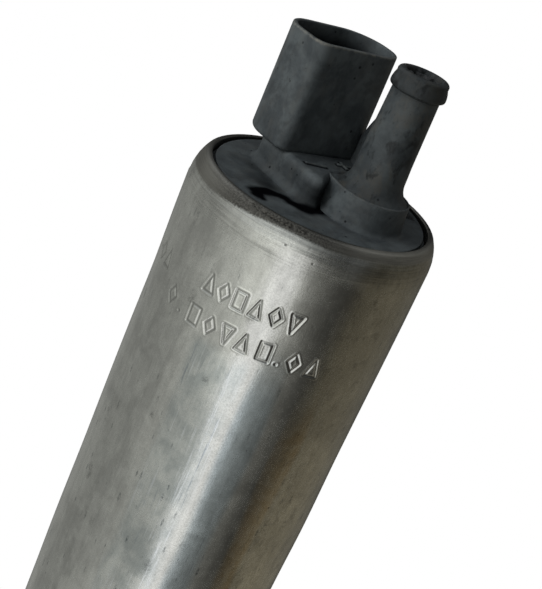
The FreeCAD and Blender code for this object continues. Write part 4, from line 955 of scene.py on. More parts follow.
def refine(path: np.ndarray | list, step: float) -> np.ndarray:
    """Adds evenly spaced points to the straight runs of a path so that none is longer than step.

    Args:
        path: corner points in the plane.
        step: the longest run allowed.
    Returns:
        The path with the extra points.
    """
    path = np.asarray(path, float)
    pieces = [path[:1]]
    for a, b in zip(path[:-1], path[1:]):
        count = max(1, int(math.ceil(np.linalg.norm(b - a) / step)))
        t = np.arange(1, count + 1)[:, None] / count
        pieces.append(a + (b - a) * t)
    return np.vstack(pieces)


def unit(values: np.ndarray) -> np.ndarray:
    """The values held between 0 and 1."""
    return np.clip(values, 0.0, 1.0)


def to_segment(x: np.ndarray, y: np.ndarray, a: np.ndarray, b: np.ndarray) -> tuple[np.ndarray, np.ndarray]:
    """How far points lie from a straight piece: the nearest place on it is the foot of the perpendicular,
    held between its ends.

    Args:
        x: first coordinates of the points.
        y: second coordinates.
        a: where the piece starts.
        b: where it ends.
    Returns:
        The distances, and how far along the piece the nearest places lie, 0 to 1.
    """
    run = b - a
    share = unit(((x - a[0]) * run[0] + (y - a[1]) * run[1]) / float(run @ run))
    return np.hypot(x - a[0] - share * run[0], y - a[1] - share * run[1]), share


def quarter(count: int, start: float = 0.0) -> np.ndarray:
    """Angles of a quarter turn in radians."""
    return np.linspace(start, 1.57, count)


# The can


class Sign(Enum):
    """Plain stamped shapes, as corners in half widths and half heights."""

    SQUARE = ((-1.0, -1.0), (1.0, -1.0), (1.0, 1.0), (-1.0, 1.0), (-1.0, -1.0))
    DIAMOND = ((0.0, -1.0), (1.0, 0.0), (0.0, 1.0), (-1.0, 0.0), (0.0, -1.0))
    TRIANGLE = ((-1.0, -1.0), (1.0, -1.0), (0.0, 1.0), (-1.0, -1.0))
    FALLEN = ((-1.0, 1.0), (1.0, 1.0), (0.0, -1.0), (-1.0, 1.0))
    DOT = ((-0.0520291, -0.8387097), (0.0520291, -0.8387097))


@dataclass
class StampedMarks:
    """Plain stamped signs: rows by height, each sign with its azimuth from the camera's right."""

    height: float = 3.1
    width_share: float = 0.62
    groove: float = 0.12
    burr: float = 0.045
    half_width: float = 0.18
    rows: tuple = (
        (106.3, ((-117.7, Sign.TRIANGLE), (-110.3, Sign.DIAMOND), (-102.7, Sign.SQUARE),
                 (-94.5, Sign.TRIANGLE), (-86.2, Sign.DIAMOND), (-77.8, Sign.FALLEN))),
        (100.1, ((-134.5, Sign.DIAMOND), (-127.4, Sign.DOT), (-119.2, Sign.SQUARE), (-110.6, Sign.DIAMOND),
                 (-102.2, Sign.FALLEN), (-94.2, Sign.TRIANGLE), (-84.6, Sign.SQUARE), (-78.2, Sign.DOT),
                 (-71.3, Sign.DIAMOND), (-62.2, Sign.TRIANGLE))),
        (104.0, ((-155.2, Sign.DIAMOND), (-147.6, Sign.TRIANGLE))),
    )

    def strokes(self) -> np.ndarray:
        """Line pieces in millimetres round the can and along it, each sign a little tilted and lifted.

        Returns:
            The pieces (u0, v0, u1, v1).
        """
        size = np.array([self.width_share, 1.0]) * self.height / 2.0
        pieces = []
        for level, row in self.rows:
            for i, (azimuth, sign) in enumerate(row):
                u = math.radians(azimuth) * CAN_RADIUS
                tilt = 0.05 * math.sin(3.1 * i + level)
                lift = 0.16 * math.sin(5.3 * i + 0.7 * level)
                at = [(u + a + tilt * b, level + lift + b - tilt * a) for a, b in np.array(sign.value) * size]
                pieces += [(*p, *q) for p, q in zip(at, at[1:])]
        return np.array(pieces)

    def depth(self, u: np.ndarray, v: np.ndarray) -> tuple[np.ndarray, np.ndarray]:
        """Groove depth from the distance to the nearest stroke: a bell-shaped furrow with a low burr
        beside it.

        Args:
            u: place round the can in millimetres.
            v: height in millimetres.
        Returns:
            The outward shift and how deep in a stroke each point is.
        """
        nearest = np.full(u.shape, 9.0)
        for stroke in self.strokes():
            nearest = np.minimum(nearest, to_segment(u, v, stroke[:2], stroke[2:])[0])
        furrow = np.exp(-((nearest / self.half_width) ** 2))
        burr = np.exp(-(((nearest - 2.1 * self.half_width) / (0.7 * self.half_width)) ** 2))
        return self.burr * burr - self.groove * furrow, furrow


@dataclass
class PumpCan:
    """The drawn can with its rolled lip, stamped marks, dents and pits."""

    radius: float = CAN_RADIUS
    bore: float = 20.3
    bottom: float = 9.0
    top: float = 121.0
    lip_edge: float = 19.1
    lip_thickness: float = 1.1
    lip_fall: float = 0.2
    crest_round: float = 1.1
    shoulder_drop: float = 5.0
    foot_round: float = 1.6
    foot_edge: float = 18.0
    fine_step: float = 0.12
    fine_from: float = 97.2
    fine_to: float = 109.0
    marked_from: float = -158.0
    marked_to: float = -54.0
    dent_count: int = 46
    pit_count: int = 50
    tooth_count: int = 95
    seed: int = 43

    def profile(self) -> np.ndarray:
        """The closed outline of the wall, from under the lip over the crest, down and back up inside.

        Returns:
            Points (radius, height).
        """
        radius, fine = self.radius, self.fine_step
        crest_x = self.lip_edge + self.lip_fall
        crest_z = self.top - self.crest_round
        width = radius - crest_x
        height = self.shoulder_drop - self.crest_round
        arc = (width**2 + height**2 - self.crest_round**2) / (2.0 * (width - self.crest_round))
        centre = (radius - arc, self.top - self.shoulder_drop)
        meet = math.degrees(math.atan2(crest_z - centre[1], crest_x - centre[0]))
        under_lip = (self.lip_edge, self.top - self.lip_thickness)
        lip = [under_lip, (self.lip_edge, self.top - self.lip_fall), (crest_x, self.top)]
        crest = refine(arc_points((crest_x, crest_z), self.crest_round, 90.0, meet, 12), fine)
        shoulder = refine(arc_points(centre, arc, meet, 0.0, 26), fine)
        plain = refine([(radius, self.top - self.shoulder_drop), (radius, self.fine_to)], 0.3)
        marked = refine([(radius, self.fine_to), (radius, self.fine_from)], fine)
        lower = refine([(radius, self.fine_from), (radius, self.bottom + self.foot_round)], 3.2)
        foot = arc_points((radius - self.foot_round, self.bottom + self.foot_round), self.foot_round,
                          0.0, -90.0, 8)
        floor = self.bottom + self.lip_thickness
        inside = refine([(self.foot_edge + 0.2, self.bottom), (self.foot_edge, self.bottom + 0.2),
                         (self.foot_edge, floor), (self.bore, floor), (self.bore, 116.4), under_lip], 9.0)
        return np.vstack([lip, crest[1:], shoulder[1:], plain[1:], marked[1:], lower[1:], foot[1:], inside])

    def angles(self) -> np.ndarray:
        """Column angles, measured from the camera's right: dense where the marks are.

        Returns:
            The angles in radians.
        """
        step = math.degrees(self.fine_step / self.radius)
        dense = np.arange(self.marked_from, self.marked_to, step)
        sparse = np.linspace(self.marked_to, self.marked_from + 360.0, 60)[:-1]
        return np.radians(np.concatenate([dense, sparse]))

    def along_wall(self, rng: np.random.Generator, low: float, high: float) -> float:
        """A drawn place round the can in millimetres, between two azimuths in degrees."""
        return rng.uniform(low, high) * math.pi / 180.0 * self.radius

    def waves(self, angles: np.ndarray, v: np.ndarray) -> np.ndarray:
        """Out-of-round wall: a bell-shaped swelling at the right side and cosines that run round the can
        and turn with the height.

        Args:
            angles: column angles in radians.
            v: heights on the grid.
        Returns:
            The outward shift on the grid.
        """
        turned = (np.degrees(angles)[None, :] + 10.0 + 180.0) % 360.0 - 180.0
        shift = 0.14 * np.exp(-((turned / 40.0) ** 2)) * unit((112.0 - v) / 30.0)
        for turns, wave, size, phase in ((2, 61.0, 0.035, 0.4), (3, 37.0, 0.03, 2.1), (5, 43.0, 0.03, 4.0),
                                         (8, 31.0, 0.02, 1.2), (11, 23.0, 0.012, 2.9)):
            shift += size * np.cos(turns * angles[None, :] + 2.0 * math.pi * v / wave + phase)
        return shift

    def dents(self, rng: np.random.Generator, u: np.ndarray, v: np.ndarray) -> np.ndarray:
        """Shallow bell-shaped dents.

        Args:
            rng: where the places are drawn from.
            u: place round the can on the grid.
            v: heights on the grid.
        Returns:
            The outward shift on the grid.
        """
        shift = np.zeros(u.shape)
        for _ in range(self.dent_count):
            at_u = self.along_wall(rng, -158.0, 190.0)
            at_v, wide, tall = rng.uniform(14.0, 114.0), rng.uniform(1.2, 3.4), rng.uniform(2.5, 9.0)
            dent = np.exp(-(((u - at_u) / wide) ** 2) - ((v - at_v) / tall) ** 2)
            shift -= rng.uniform(0.006, 0.026) * dent
        return shift

    def pits_and_teeth(self, rng: np.random.Generator, u: np.ndarray,
                       v: np.ndarray) -> tuple[np.ndarray, np.ndarray]:
        """Small bell-shaped pits, and the worn teeth of the rolling tool on the crest.

        Args:
            rng: where the places are drawn from.
            u: place round the can on the fine part of the grid.
            v: heights there.
        Returns:
            The outward shift, and where the teeth are.
        """
        shift, knurl = np.zeros(u.shape), np.zeros(u.shape)
        for _ in range(self.pit_count):
            at_u = self.along_wall(rng, -157.0, -55.0)
            at_v, size = rng.uniform(97.4, 117.0), rng.uniform(0.12, 0.2)
            shift -= rng.uniform(0.01, 0.03) * np.exp(-(((u - at_u) ** 2 + (v - at_v) ** 2) / size**2))
        for _ in range(self.tooth_count):
            at_u = self.along_wall(rng, -117.0, -88.0)
            at_v, size = 120.2 + 0.62 * rng.uniform(0.0, 1.0), rng.uniform(0.1, 0.2)
            tooth = np.exp(-(((u - at_u) / size) ** 2 + ((v - at_v) / 0.1) ** 2))
            shift -= rng.uniform(0.05, 0.1) * tooth
            knurl = np.maximum(knurl, tooth)
        return shift, knurl

    def relief(self, angles: np.ndarray, profile: np.ndarray) -> tuple[np.ndarray, np.ndarray]:
        """Outward shift of every point: waves, dents, marks, pits, teeth, and ridges on the shoulder.

        Args:
            angles: column angles in radians.
            profile: profile points.
        Returns:
            The shift in millimetres and the depth of the stamping and tool teeth, which makes the colour darker
            as dirt and painted shade, both on the grid.
        """
        rng = np.random.default_rng(self.seed)
        u = angles[None, :] * self.radius + 0.0 * profile[:, 1:]
        v = profile[:, 1:] + 0.0 * angles[None, :]
        outside = ((profile[:, 0] > self.radius - 0.01) & (profile[:, 1] < 116.0))[:, None]
        shift = (self.waves(angles, v) + self.dents(rng, u, v)) * outside
        stamped = np.zeros(u.shape)
        fine = profile[:, 1] > self.fine_from
        dense = np.ix_(fine, angles < math.radians(self.marked_to))
        marks, furrow = StampedMarks().depth(u[dense], v[dense])
        band = (v[dense] < self.fine_to + 0.5) & outside[fine]
        shift[dense] += marks * band
        stamped[dense] = furrow * band
        pits, knurl = self.pits_and_teeth(rng, u[dense], v[dense])
        shown = profile[fine][:, :1] > self.lip_edge + 0.1
        shift[dense] += pits * shown
        stamped[dense] += 1.6 * knurl * shown
        wander = 0.12 * np.sin(3.0 * u / self.radius + 0.7) + 0.05 * np.sin(11.0 * u / self.radius)
        for at_v, wide, size in ((118.75, 0.14, 0.011), (118.2, 0.14, -0.016), (117.5, 0.2, 0.01),
                                 (116.8, 0.24, -0.012), (119.45, 0.14, 0.01)):
            ridge = np.exp(-(((v - at_v - wander) / wide) ** 2))
            shift += size * ridge * (profile[:, :1] > self.bore + 0.3)
        return shift, stamped

    def build(self) -> None:
        """Makes the can in place of its CAD node: each point moves along the profile's normal."""
        profile = self.profile()
        angles = self.angles()
        along = np.gradient(profile, axis=0)
        along /= np.maximum(np.linalg.norm(along, axis=1, keepdims=True), 1e-9)
        shift, stamped = self.relief(angles, profile)
        shift[0] = shift[-1] = 0.0
        world = angles - VIEW_TURN
        r = profile[:, :1] - along[:, 1:] * shift
        z = profile[:, 1:] + along[:, :1] * shift
        points = np.stack([r * np.cos(world), r * np.sin(world), z], -1)
        Sheet("can_shell", points, stamped, closed=True).build("can", "housing", "pump_can")


# The outlet cover


def rounded_loop(left: float, right: float, front: float, back: float, rounds: tuple[float, ...],
                 arc_count: int = 13, side_count: int = 11) -> np.ndarray:
    """Closed outline of a rectangle with a radius of its own at each corner: quarter circles joined by
    straight sides.

    Args:
        left: lowest x.
        right: highest x.
        front: lowest y.
        back: highest y.
        rounds: radii at left front, right front, right back and left back.
        arc_count: points on each corner.
        side_count: points on each side between corners.
    Returns:
        Points (x, y) in order, counterclockwise.
    """
    corners = ((left, front, 180.0, 1, 1), (right, front, 270.0, -1, 1), (right, back, 0.0, -1, -1),
               (left, back, 90.0, 1, -1))
    arcs = [arc_points((x + sx * radius, y + sy * radius), radius, start, start + 90.0, arc_count)
            for (x, y, start, sx, sy), radius in zip(corners, rounds)]
    t = np.arange(1, side_count + 1)[:, None] / (side_count + 1)
    pieces = []
    for arc, following in zip(arcs, arcs[1:] + arcs[:1]):
        pieces += [arc, arc[-1] + (following[0] - arc[-1]) * t]
    return np.vstack(pieces)


def at_height(loop: np.ndarray, z: float) -> np.ndarray:
    """A flat loop lifted to a height."""
    return np.column_stack([loop, np.full(len(loop), z)])


def bell(x: np.ndarray, y: np.ndarray, at: tuple[float, float], size: tuple[float, float]) -> np.ndarray:
    """A bell over the plane, from 1 in its middle down with the squared distance, by its two widths."""
    return np.exp(-(((x - at[0]) / size[0]) ** 2) - ((y - at[1]) / size[1]) ** 2)


@dataclass
class OutletCover:
    """Disc, platform, connector socket, outlet stub and web of the one black moulding."""

    disc_top: float = 120.5
    disc_radius: float = 18.45
    flange_top: float = 119.3
    platform_top: float = 125.5
    socket_middle: tuple[float, float] = (0.5, 9.94)
    socket_half: tuple[float, float] = (9.675, 6.07)
    socket_floor: float = 127.7
    socket_rim: float = 143.87
    stub_x: float = 3.03
    stub_y: float = -7.56
    stub_tip: float = 145.95
    boss_radius: float = 6.5
    neck_foot_radius: float = 4.36
    neck_top_radius: float = 3.98
    neck_flare: float = 4.0
    bead_radius: float = 4.66
    stub_bore: float = 2.9

    @staticmethod
    def add(sheet: Sheet) -> None:
        """Builds one surface of the moulding."""
        sheet.build("cover_plastic", "housing", "outlet_cover")

    def socket_loop(self, inset: float, z: float) -> np.ndarray:
        """The socket's outline at a height: it narrows by the draft towards its foot.

        Args:
            inset: distance inside the outer face.
            z: height.
        Returns:
            Points (x, y, z).
        """
        share = min(max((self.socket_rim - z) / (self.socket_rim - self.platform_top), 0.0), 1.0)
        (x, y), (half_x, half_y) = self.socket_middle, self.socket_half
        rounds = tuple(max(r - inset, 0.3) for r in (2.8 - 0.9 * share, 5.2, 5.9, 5.9))
        return at_height(rounded_loop(x - half_x + inset, x + half_x - inset,
                                      y - half_y - 0.35 * share + inset, y + half_y - inset, rounds), z)

    def socket(self) -> None:
        """Cup with rounded foot, drafted wall, rounded rim and a filleted floor. Each level has its inset,
        height and rubbed share."""
        top, foot, floor = self.socket_rim, self.platform_top, self.socket_floor
        outer = [(3.0, foot - 0.3, 0.0), (0.8, foot - 0.3, 0.1)]
        outer += [(0.8 - 0.8 * math.sin(t), foot + 0.5 - 0.8 * math.cos(t), 0.35) for t in quarter(7)]
        outer += zip([0.0] * 16, np.linspace(foot + 1.0, top - 0.7, 16), [0.2] + [0.04] * 14 + [0.3])
        outer += [(0.22 - 0.22 * math.cos(t), top - 0.22 + 0.22 * math.sin(t), 0.9) for t in quarter(6)]
        outer += [(0.6 + 0.2 * math.sin(t), top - 0.2 + 0.2 * math.cos(t), 0.6) for t in quarter(6)]
        inner = [(0.82 + 0.18 * s, top - 0.5 - s * (top - floor - 1.1), 0.1 * (1.0 - s))
                 for s in np.linspace(0.0, 1.0, 24)]
        inner += [(1.6 - 0.6 * math.cos(t), floor + 0.6 - 0.6 * math.sin(t), 0.0) for t in quarter(5, 0.1)]
        inner += [(2.6, floor, 0.0), (4.2, floor, 0.0)]
        levels = outer + inner
        points = np.stack([self.socket_loop(inset, z) for inset, z, _ in levels])
        x, y, z = np.moveaxis(points, -1, 0)
        # Painted shade inside the cup, darker with depth.
        dark = np.zeros(z.shape)
        dark[len(outer):] = np.clip((top - 0.9 - z[len(outer):]) / 2.4, 0.0, 0.98)
        near_rim = unit((z - top + 3.0) / 3.0)
        corner = bell(x, y, (-9.0, 4.1), (1.1, 1.1))
        wear = np.array([w for _, _, w in levels])[:, None] + corner * (0.15 + 0.5 * near_rim)
        self.add(Sheet("connector_socket", points, unit(wear), dark))

    def platform(self) -> None:
        """Block under the socket: upright sides with a fillet at the foot, rounded upper edges, and a front
        that falls back beside the stub's boss. Each level has its spread, height and rubbed share."""
        top, low = self.platform_top, self.disc_top
        round_top, foot = 1.15, 1.7
        levels = [(0.9, low - 0.4, 0.0)]
        levels += [(foot * (1.0 - math.sin(t)), low - 0.1 + foot * (1.0 - math.cos(t)), 0.0)
                   for t in quarter(8, 0.2)]
        levels += [(0.03 * (top - z), z, 0.05)
                   for z in np.linspace(low + foot + 0.3, top - round_top - 0.1, 8)]
        levels += [(-round_top * (1.0 - math.cos(t)), top - round_top * (1.0 - math.sin(t)), 0.4)
                   for t in quarter(10)]
        levels += [(-1.6, top, 0.15), (-2.2, top, 0.0), (-3.2, top, 0.0)]
        rows = []
        for spread, z, _ in levels:
            rounds = tuple(max(r + spread, 0.3) for r in (1.5, 1.5, 6.0, 6.0))
            loop = rounded_loop(-7.45 - spread, 8.0 + spread, -5.9 - spread, 13.9 + spread, rounds, 15, 25)
            back = np.clip((loop[:, 0] + 6.0) * 0.72, 0.0, 3.1)
            loop[:, 1] += back * unit((-1.2 - loop[:, 1]) / 3.2)
            rows.append(at_height(loop, z))
        points = np.stack(rows)
        y, z = points[..., 1], points[..., 2]
        # Near-black along the foot, partly greasy dirt and partly painted shadow; painted shade on the lower
        # sides, deepest at the front.
        grease_and_shade = unit(1.2 - (z - low) / 1.2) * self.grease_and_shade_at(points, 1.35)
        film = 0.3 + 0.4 * unit((-1.5 - y) / 4.0)
        grease_and_shade = np.maximum(grease_and_shade, unit((top - 0.5 - z) / 1.5) * film)
        wear = np.array([w for _, _, w in levels])[:, None]
        self.add(Sheet("socket_platform", points, wear, grease_and_shade))

    def stub_profile(self) -> list[tuple[np.ndarray, float]]:
        """Runs of the stub's outline: foot, boss, ledge, flare, neck, bead, mouth and bore.

        Returns:
            For each run its points (radius, height) and its rubbed share.
        """
        low, top, tip = self.disc_top, self.platform_top, self.stub_tip
        boss, bead, flare = self.boss_radius, self.bead_radius, self.neck_flare
        neck, neck_top = self.neck_foot_radius, self.neck_top_radius
        ledge, ledge_z = boss - 0.42, top - 0.16
        centre = (neck + flare, ledge_z + math.sqrt(flare**2 - (neck + flare - ledge) ** 2))
        start = math.degrees(math.atan2(ledge_z - centre[1], ledge - centre[0])) % 360.0
        heights = np.linspace(centre[1] + 0.5, tip - 3.5, 18)
        widths = neck + (neck_top - neck) * (heights - heights[0]) / (heights[-1] - heights[0])
        runs = [
            ([(0.05, low - 0.6), (8.4, low - 0.6), (8.4, low - 0.02)], 0.0),
            (arc_points((boss + 1.4, low + 0.93), 0.95, 270.0, 180.0, 8), 0.0),
            (refine([(boss + 0.25, low + 2.2), (boss + 0.04, top - 0.7)], 0.4), 0.05),
            (arc_points((boss - 0.2, top - 0.22), 0.22, 10.0, 90.0, 6), 0.75),
            ([(ledge + 0.16, top - 0.02), (ledge + 0.05, ledge_z - 0.06), (ledge - 0.08, ledge_z - 0.06)], 0.1),
            (arc_points(centre, flare, start + 1.0, 180.0, 14), 0.05),
            (np.column_stack([widths, heights]), 0.04),
            ([(neck_top + 0.06, tip - 3.36), (neck_top + 0.02, tip - 3.26), (neck_top + 0.3, tip - 3.16),
              (bead - 0.16, tip - 3.02), (bead - 0.04, tip - 2.86), (bead, tip - 2.6), (bead - 0.03, tip - 2.2),
              (bead - 0.16, tip - 1.6), (bead - 0.38, tip - 1.0)], 0.35),
            (arc_points((bead - 1.06, tip - 0.72), 0.72, 12.0, 90.0, 9), 0.5),
            ([(3.32, tip - 0.02), (3.16, tip - 0.14), (3.06, tip - 0.36), (2.98, tip - 0.8)], 0.4),
            ([(self.stub_bore, z) for z in np.linspace(tip - 1.3, 126.65, 10)], 0.0),
            ([(1.9, 126.6), (1.9, 121.2), (0.05, 121.2)], 0.0),
        ]
        return [(np.array(points), wear) for points, wear in runs]

    def stub(self) -> None:
        """Boss, flared and tapered neck, barbed bead and bore of the outlet stub, turned about its own
        axis; the boss swells towards the platform, the neck leans a little and the mouth is worn."""
        boss_runs, mouth_run = (1, 2, 3, 4), 9
        runs = self.stub_profile()
        profile = np.vstack([points for points, _ in runs])
        wear = np.concatenate([np.full(len(points), share) for points, share in runs])[:, None]
        run = np.concatenate([np.full(len(points), i) for i, (points, _) in enumerate(runs)])[:, None]
        angles = np.linspace(0.0, 2.0 * math.pi, 180, endpoint=False)
        r, z = profile[:, :1] + 0.0 * angles, profile[:, 1:]
        swell = np.exp(-(((np.degrees(angles) - 128.0) / 24.0) ** 2))
        r += 1.35 * swell * np.isin(run, boss_runs) * (r > 4.0)
        worn = sum(size * np.sin(turns * angles + phase)
                   for size, turns, phase in ((0.09, 4.0, 1.0), (0.07, 9.0, 2.0), (0.05, 17.0, 0.0)))
        r += worn * (run == mouth_run)
        lean = unit((z - self.platform_top) / 6.0)
        # Painted shade in the mouth and bore, darker with depth.
        dark = np.clip((self.stub_tip - 0.55 - z) / 1.6, 0.0, 0.9) * (run >= mouth_run)
        points = np.stack([self.stub_x - 0.28 * lean + r * np.cos(angles), self.stub_y + r * np.sin(angles),
                           z + 0.0 * angles], -1)
        self.add(Sheet("outlet_stub", points, wear, dark, sharp_degrees=50.0))

    def web(self) -> None:
        """Gusset from the stub to the socket: a thin plate with a rounded crest whose height falls along
        a smooth step, and a spread foot."""
        foot = np.array([self.stub_x, self.stub_y])
        run = np.array([8.2, 4.6]) - foot
        reach = float(np.linalg.norm(run))
        run /= reach
        across = np.array([-run[1], run[0]])
        t = np.linspace(1.2, reach + 0.9, 40)
        crest = np.interp(t, [0.0, 3.9, 6.0, 8.0, 10.0, 10.8, 12.7, reach + 1.0],
                          [140.9, 140.9, 139.0, 136.7, 134.2, 133.0, 129.9, 128.2])
        crest = np.convolve(np.pad(crest, 2, mode="edge"), np.ones(5) / 5.0, mode="valid")
        half, spread, crown = 0.8, 0.5, 0.55
        side = [(-half - spread, 0.0), (-half - 0.2, 0.05), (-half - 0.05, 0.14)]
        side += [(-half, share) for share in np.linspace(0.22, 0.9, 9)]
        bend = [(-half * math.cos(a), crown * math.sin(a)) for a in np.linspace(0.0, math.pi, 11)]
        low = self.platform_top - 0.4
        rows, wear = [], []
        for at, height in zip(t, crest):
            level = height - crown
            rising = [(o, low + (level - low) * share, 0.0) for o, share in side]
            ring = rising + [(o, level + rise, 0.6) for o, rise in bend]
            ring = np.array(ring + [(-o, z, 0.0) for o, z, _ in rising[::-1]])
            rows.append(np.column_stack([foot + run * at + across * ring[:, :1], ring[:, 1]]))
            wear.append(ring[:, 2])
        self.add(Sheet("stub_web", np.stack(rows), np.array(wear)))

    @staticmethod
    def grease_and_shade_at(points: np.ndarray, reach: float) -> np.ndarray:
        """Dark band along the platform's foot, partly greasy dirt and partly painted shadow: thin soft bands
        round bent lines, and painted shade on the disc left of the platform.

        Args:
            points: places on the disc.
            reach: half width of the band.
        Returns:
            Its strength, 0 to 1.
        """
        line = np.array([(-15.1, -2.1, 0.9), (-14.0, -1.8, 1.1), (-12.3, -1.7, 0.9), (-10.6, -2.6, 0.8),
                         (-9.9, -4.8, 0.8), (-9.0, -6.2, 0.9), (-7.7, -6.9, 1.1), (-5.6, -6.4, 1.2),
                         (-4.4, -5.6, 0.9)])
        spur = np.array([(-14.9, -2.2, 0.9), (-15.4, -3.4, 0.9), (-15.2, -4.3, 0.5)])
        x, y = points[..., 0], points[..., 1]
        wobble = 0.14 * np.sin(1.7 * x + 0.6) + 0.12 * np.sin(2.9 * y + 1.1)
        strength = np.zeros(x.shape)
        for path in (line, spur):
            for a, b in zip(path[:-1], path[1:]):
                nearest, share = to_segment(x, y, a[:2], b[:2])
                wide = reach * (a[2] + (b[2] - a[2]) * share)
                strength = np.maximum(strength, unit(1.7 - (nearest + wobble) / wide))
        # Painted shade on the disc left of the platform.
        film = 0.72 * bell(x, y, (-10.9, 0.4), (2.4, 3.8)) + 0.4 * bell(x, y, (-9.5, 6.0), (1.5, 3.0))
        return np.maximum(strength, film)

    def disc(self) -> None:
        """Disc with its stepped flange; the height drops in the pocket beside the stub and in the bore
        of the relief valve, and rises a little towards the back."""
        top, flange = self.disc_top, self.flange_top
        angles = np.radians(np.concatenate([np.arange(-25.0, 16.0, 0.5), np.arange(16.0, 130.0, 2.0),
                                            np.arange(130.0, 250.0, 0.75), np.arange(250.0, 335.0, 2.0)]))
        radii = np.concatenate([np.arange(0.05, 6.0, 0.6), np.arange(6.0, 12.1, 0.2),
                                np.arange(12.2, 17.95, 0.12)])
        r, a = np.meshgrid(radii, angles, indexing="ij")
        x, y, degrees = r * np.cos(a), r * np.sin(a), np.degrees(a)
        inside_arc = np.minimum(degrees + 23.0, 14.0 - degrees) * math.pi / 180.0 * r
        margin = np.minimum(np.minimum(r - 12.4, 17.75 - r), inside_arc)
        z = top - 1.1 * unit(margin / 0.16)
        z = np.where(np.hypot(x - 14.7, y + 2.5) < 1.8, top - 2.0, z)
        edge = np.array([(18.05, top, 0.2), (18.25, top, 0.5), (18.39, top - 0.06, 0.7),
                         (18.45, top - 0.2, 0.5), (18.45, flange, 0.0), (19.05, flange, 0.0),
                         (20.2, 116.3, 0.0), (20.2, 114.0, 0.0), (17.2, 114.0, 0.0), (17.2, 118.0, 0.0),
                         (8.0, 118.0, 0.0), (0.05, 118.0, 0.0)])
        outer = np.stack([edge[:, :1] * np.cos(angles), edge[:, :1] * np.sin(angles),
                          edge[:, 1:2] + 0.0 * angles], -1)
        points = np.vstack([np.stack([x, y, z], -1), outer])
        wear = np.vstack([0.5 * np.exp(-((margin / 0.25) ** 2)), edge[:, 2:] + 0.0 * angles])
        back = (points[..., 0] * 0.698 + points[..., 1] * 0.716) / self.disc_radius
        points[..., 2] += 0.45 * unit(back) ** 1.5 * (points[..., 2] > flange + 0.05)
        # Greasy dirt and painted shadow along the platform's foot, painted shade left of it.
        self.add(Sheet("cover_disc", points, wear, self.grease_and_shade_at(points, 1.3)))

    def polarity_sign(self, name: str, middle: tuple[float, float], half_x: float, half_y: float) -> None:
        """One raised bar with rounded edges and a dark ring round its foot. Each level has its spread, height
        above the platform, rubbed share and darkening.

        Args:
            name: the piece's name.
            middle: the middle of the bar.
            half_x: half its size along X.
            half_y: half its size along Y.
        """
        levels = ((0.5, -0.2, 0.0, 0.0), (0.45, 0.0, 0.0, 0.15), (0.22, 0.01, 0.0, 0.9), (0.1, 0.04, 0.1, 0.9),
                  (0.04, 0.2, 0.6, 0.3), (-0.03, 0.29, 0.9, 0.0), (-0.14, 0.32, 0.5, 0.0))
        lean = math.radians(-12.0)
        turn = np.array([[math.cos(lean), math.sin(lean)], [-math.sin(lean), math.cos(lean)]])
        rows = []
        for spread, rise, _, _ in levels:
            x, y = half_x + spread, half_y + spread
            loop = rounded_loop(-x, x, -y, y, (0.2 + spread * 0.5,) * 4, 5, 4)
            rows.append(at_height(loop @ turn + middle, self.platform_top + rise))
        _, _, wear, dirt = np.array(levels).T[:, :, None]
        self.add(Sheet(name, np.stack(rows), wear, dirt))

    def build(self) -> None:
        """Makes every part of the moulding."""
        self.disc()
        self.platform()
        self.socket()
        self.stub()
        self.web()
        self.polarity_sign("minus_sign", (-4.2, -0.6), 1.95, 0.27)
        self.polarity_sign("plus_sign_bar", (2.7, 0.4), 1.3, 0.27)
        self.polarity_sign("plus_sign_upright", (2.7, 0.4), 0.27, 1.3)


# Pieces carried over from the CAD model


@dataclass
class SprungPiece:
    """A spring or lead and the joint that shortens it in the pump, in millimetres; the script only works out
    the share kept and shortens nothing.
    """

    joint: str
    held_end: float
    travel: float
    length: float

    @property
    def keep(self) -> float:
        """The share of the length that is left at full travel."""
        return 1.0 - self.travel / self.length


@dataclass
class CarriedPieces:
    """CAD nodes shown as merged, smooth-shaded copies in their detailed finishes."""

    sprung: dict[str, SprungPiece]
    sharp_degrees: float = 28.0

    def build(self, already: set[str]) -> None:
        """Copies every node that has no piece of its own.

        Args:
            already: nodes that detailed pieces stand for.
        """
        slots = {row["node"]: row["material_slot"] for row in frame["record"]["subparts"]}
        for name, node in sorted(frame["nodes"].items()):
            if name in already:
                continue
            mesh = node.data.copy()
            weld(mesh)
            mesh.shade_smooth()
            mesh.set_sharp_from_angle(angle=math.radians(self.sharp_degrees))
            made = add_piece(name + "_piece", mesh, slots[name], node["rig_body"], name)
            if name in self.sprung:
                rule = self.sprung[name]
                rule.keep
                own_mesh(made)


SPRUNG = {
    "check_spring": SprungPiece("check_valve_lift", 141.25, 2.5, 12.15),
    "relief_spring": SprungPiece("relief_valve_lift", 118.1, 1.2, 3.45),
    "brush_spring_left": SprungPiece("brush_left_slide", 114.95, 2.0, 4.75),
    "brush_spring_right": SprungPiece("brush_right_slide", 114.95, 2.0, 4.75),
    "brush_lead_left": SprungPiece("brush_left_slide", 115.95, 2.0, 5.75),
    "brush_lead_right": SprungPiece("brush_right_slide", 115.95, 2.0, 5.75),
}


# Studio


def aimed(right: np.ndarray, up: np.ndarray, place: np.ndarray) -> Matrix:
    """The matrix of a lamp or camera from its two image directions and its place in metres.

    Args:
        right: the image's right.
        up: the image's up.
        place: its place.
    Returns:
        The matrix.
    """
    turn = Matrix([list(right), list(up), list(np.cross(right, up))]).transposed().to_4x4()
    turn.translation = place
    return turn


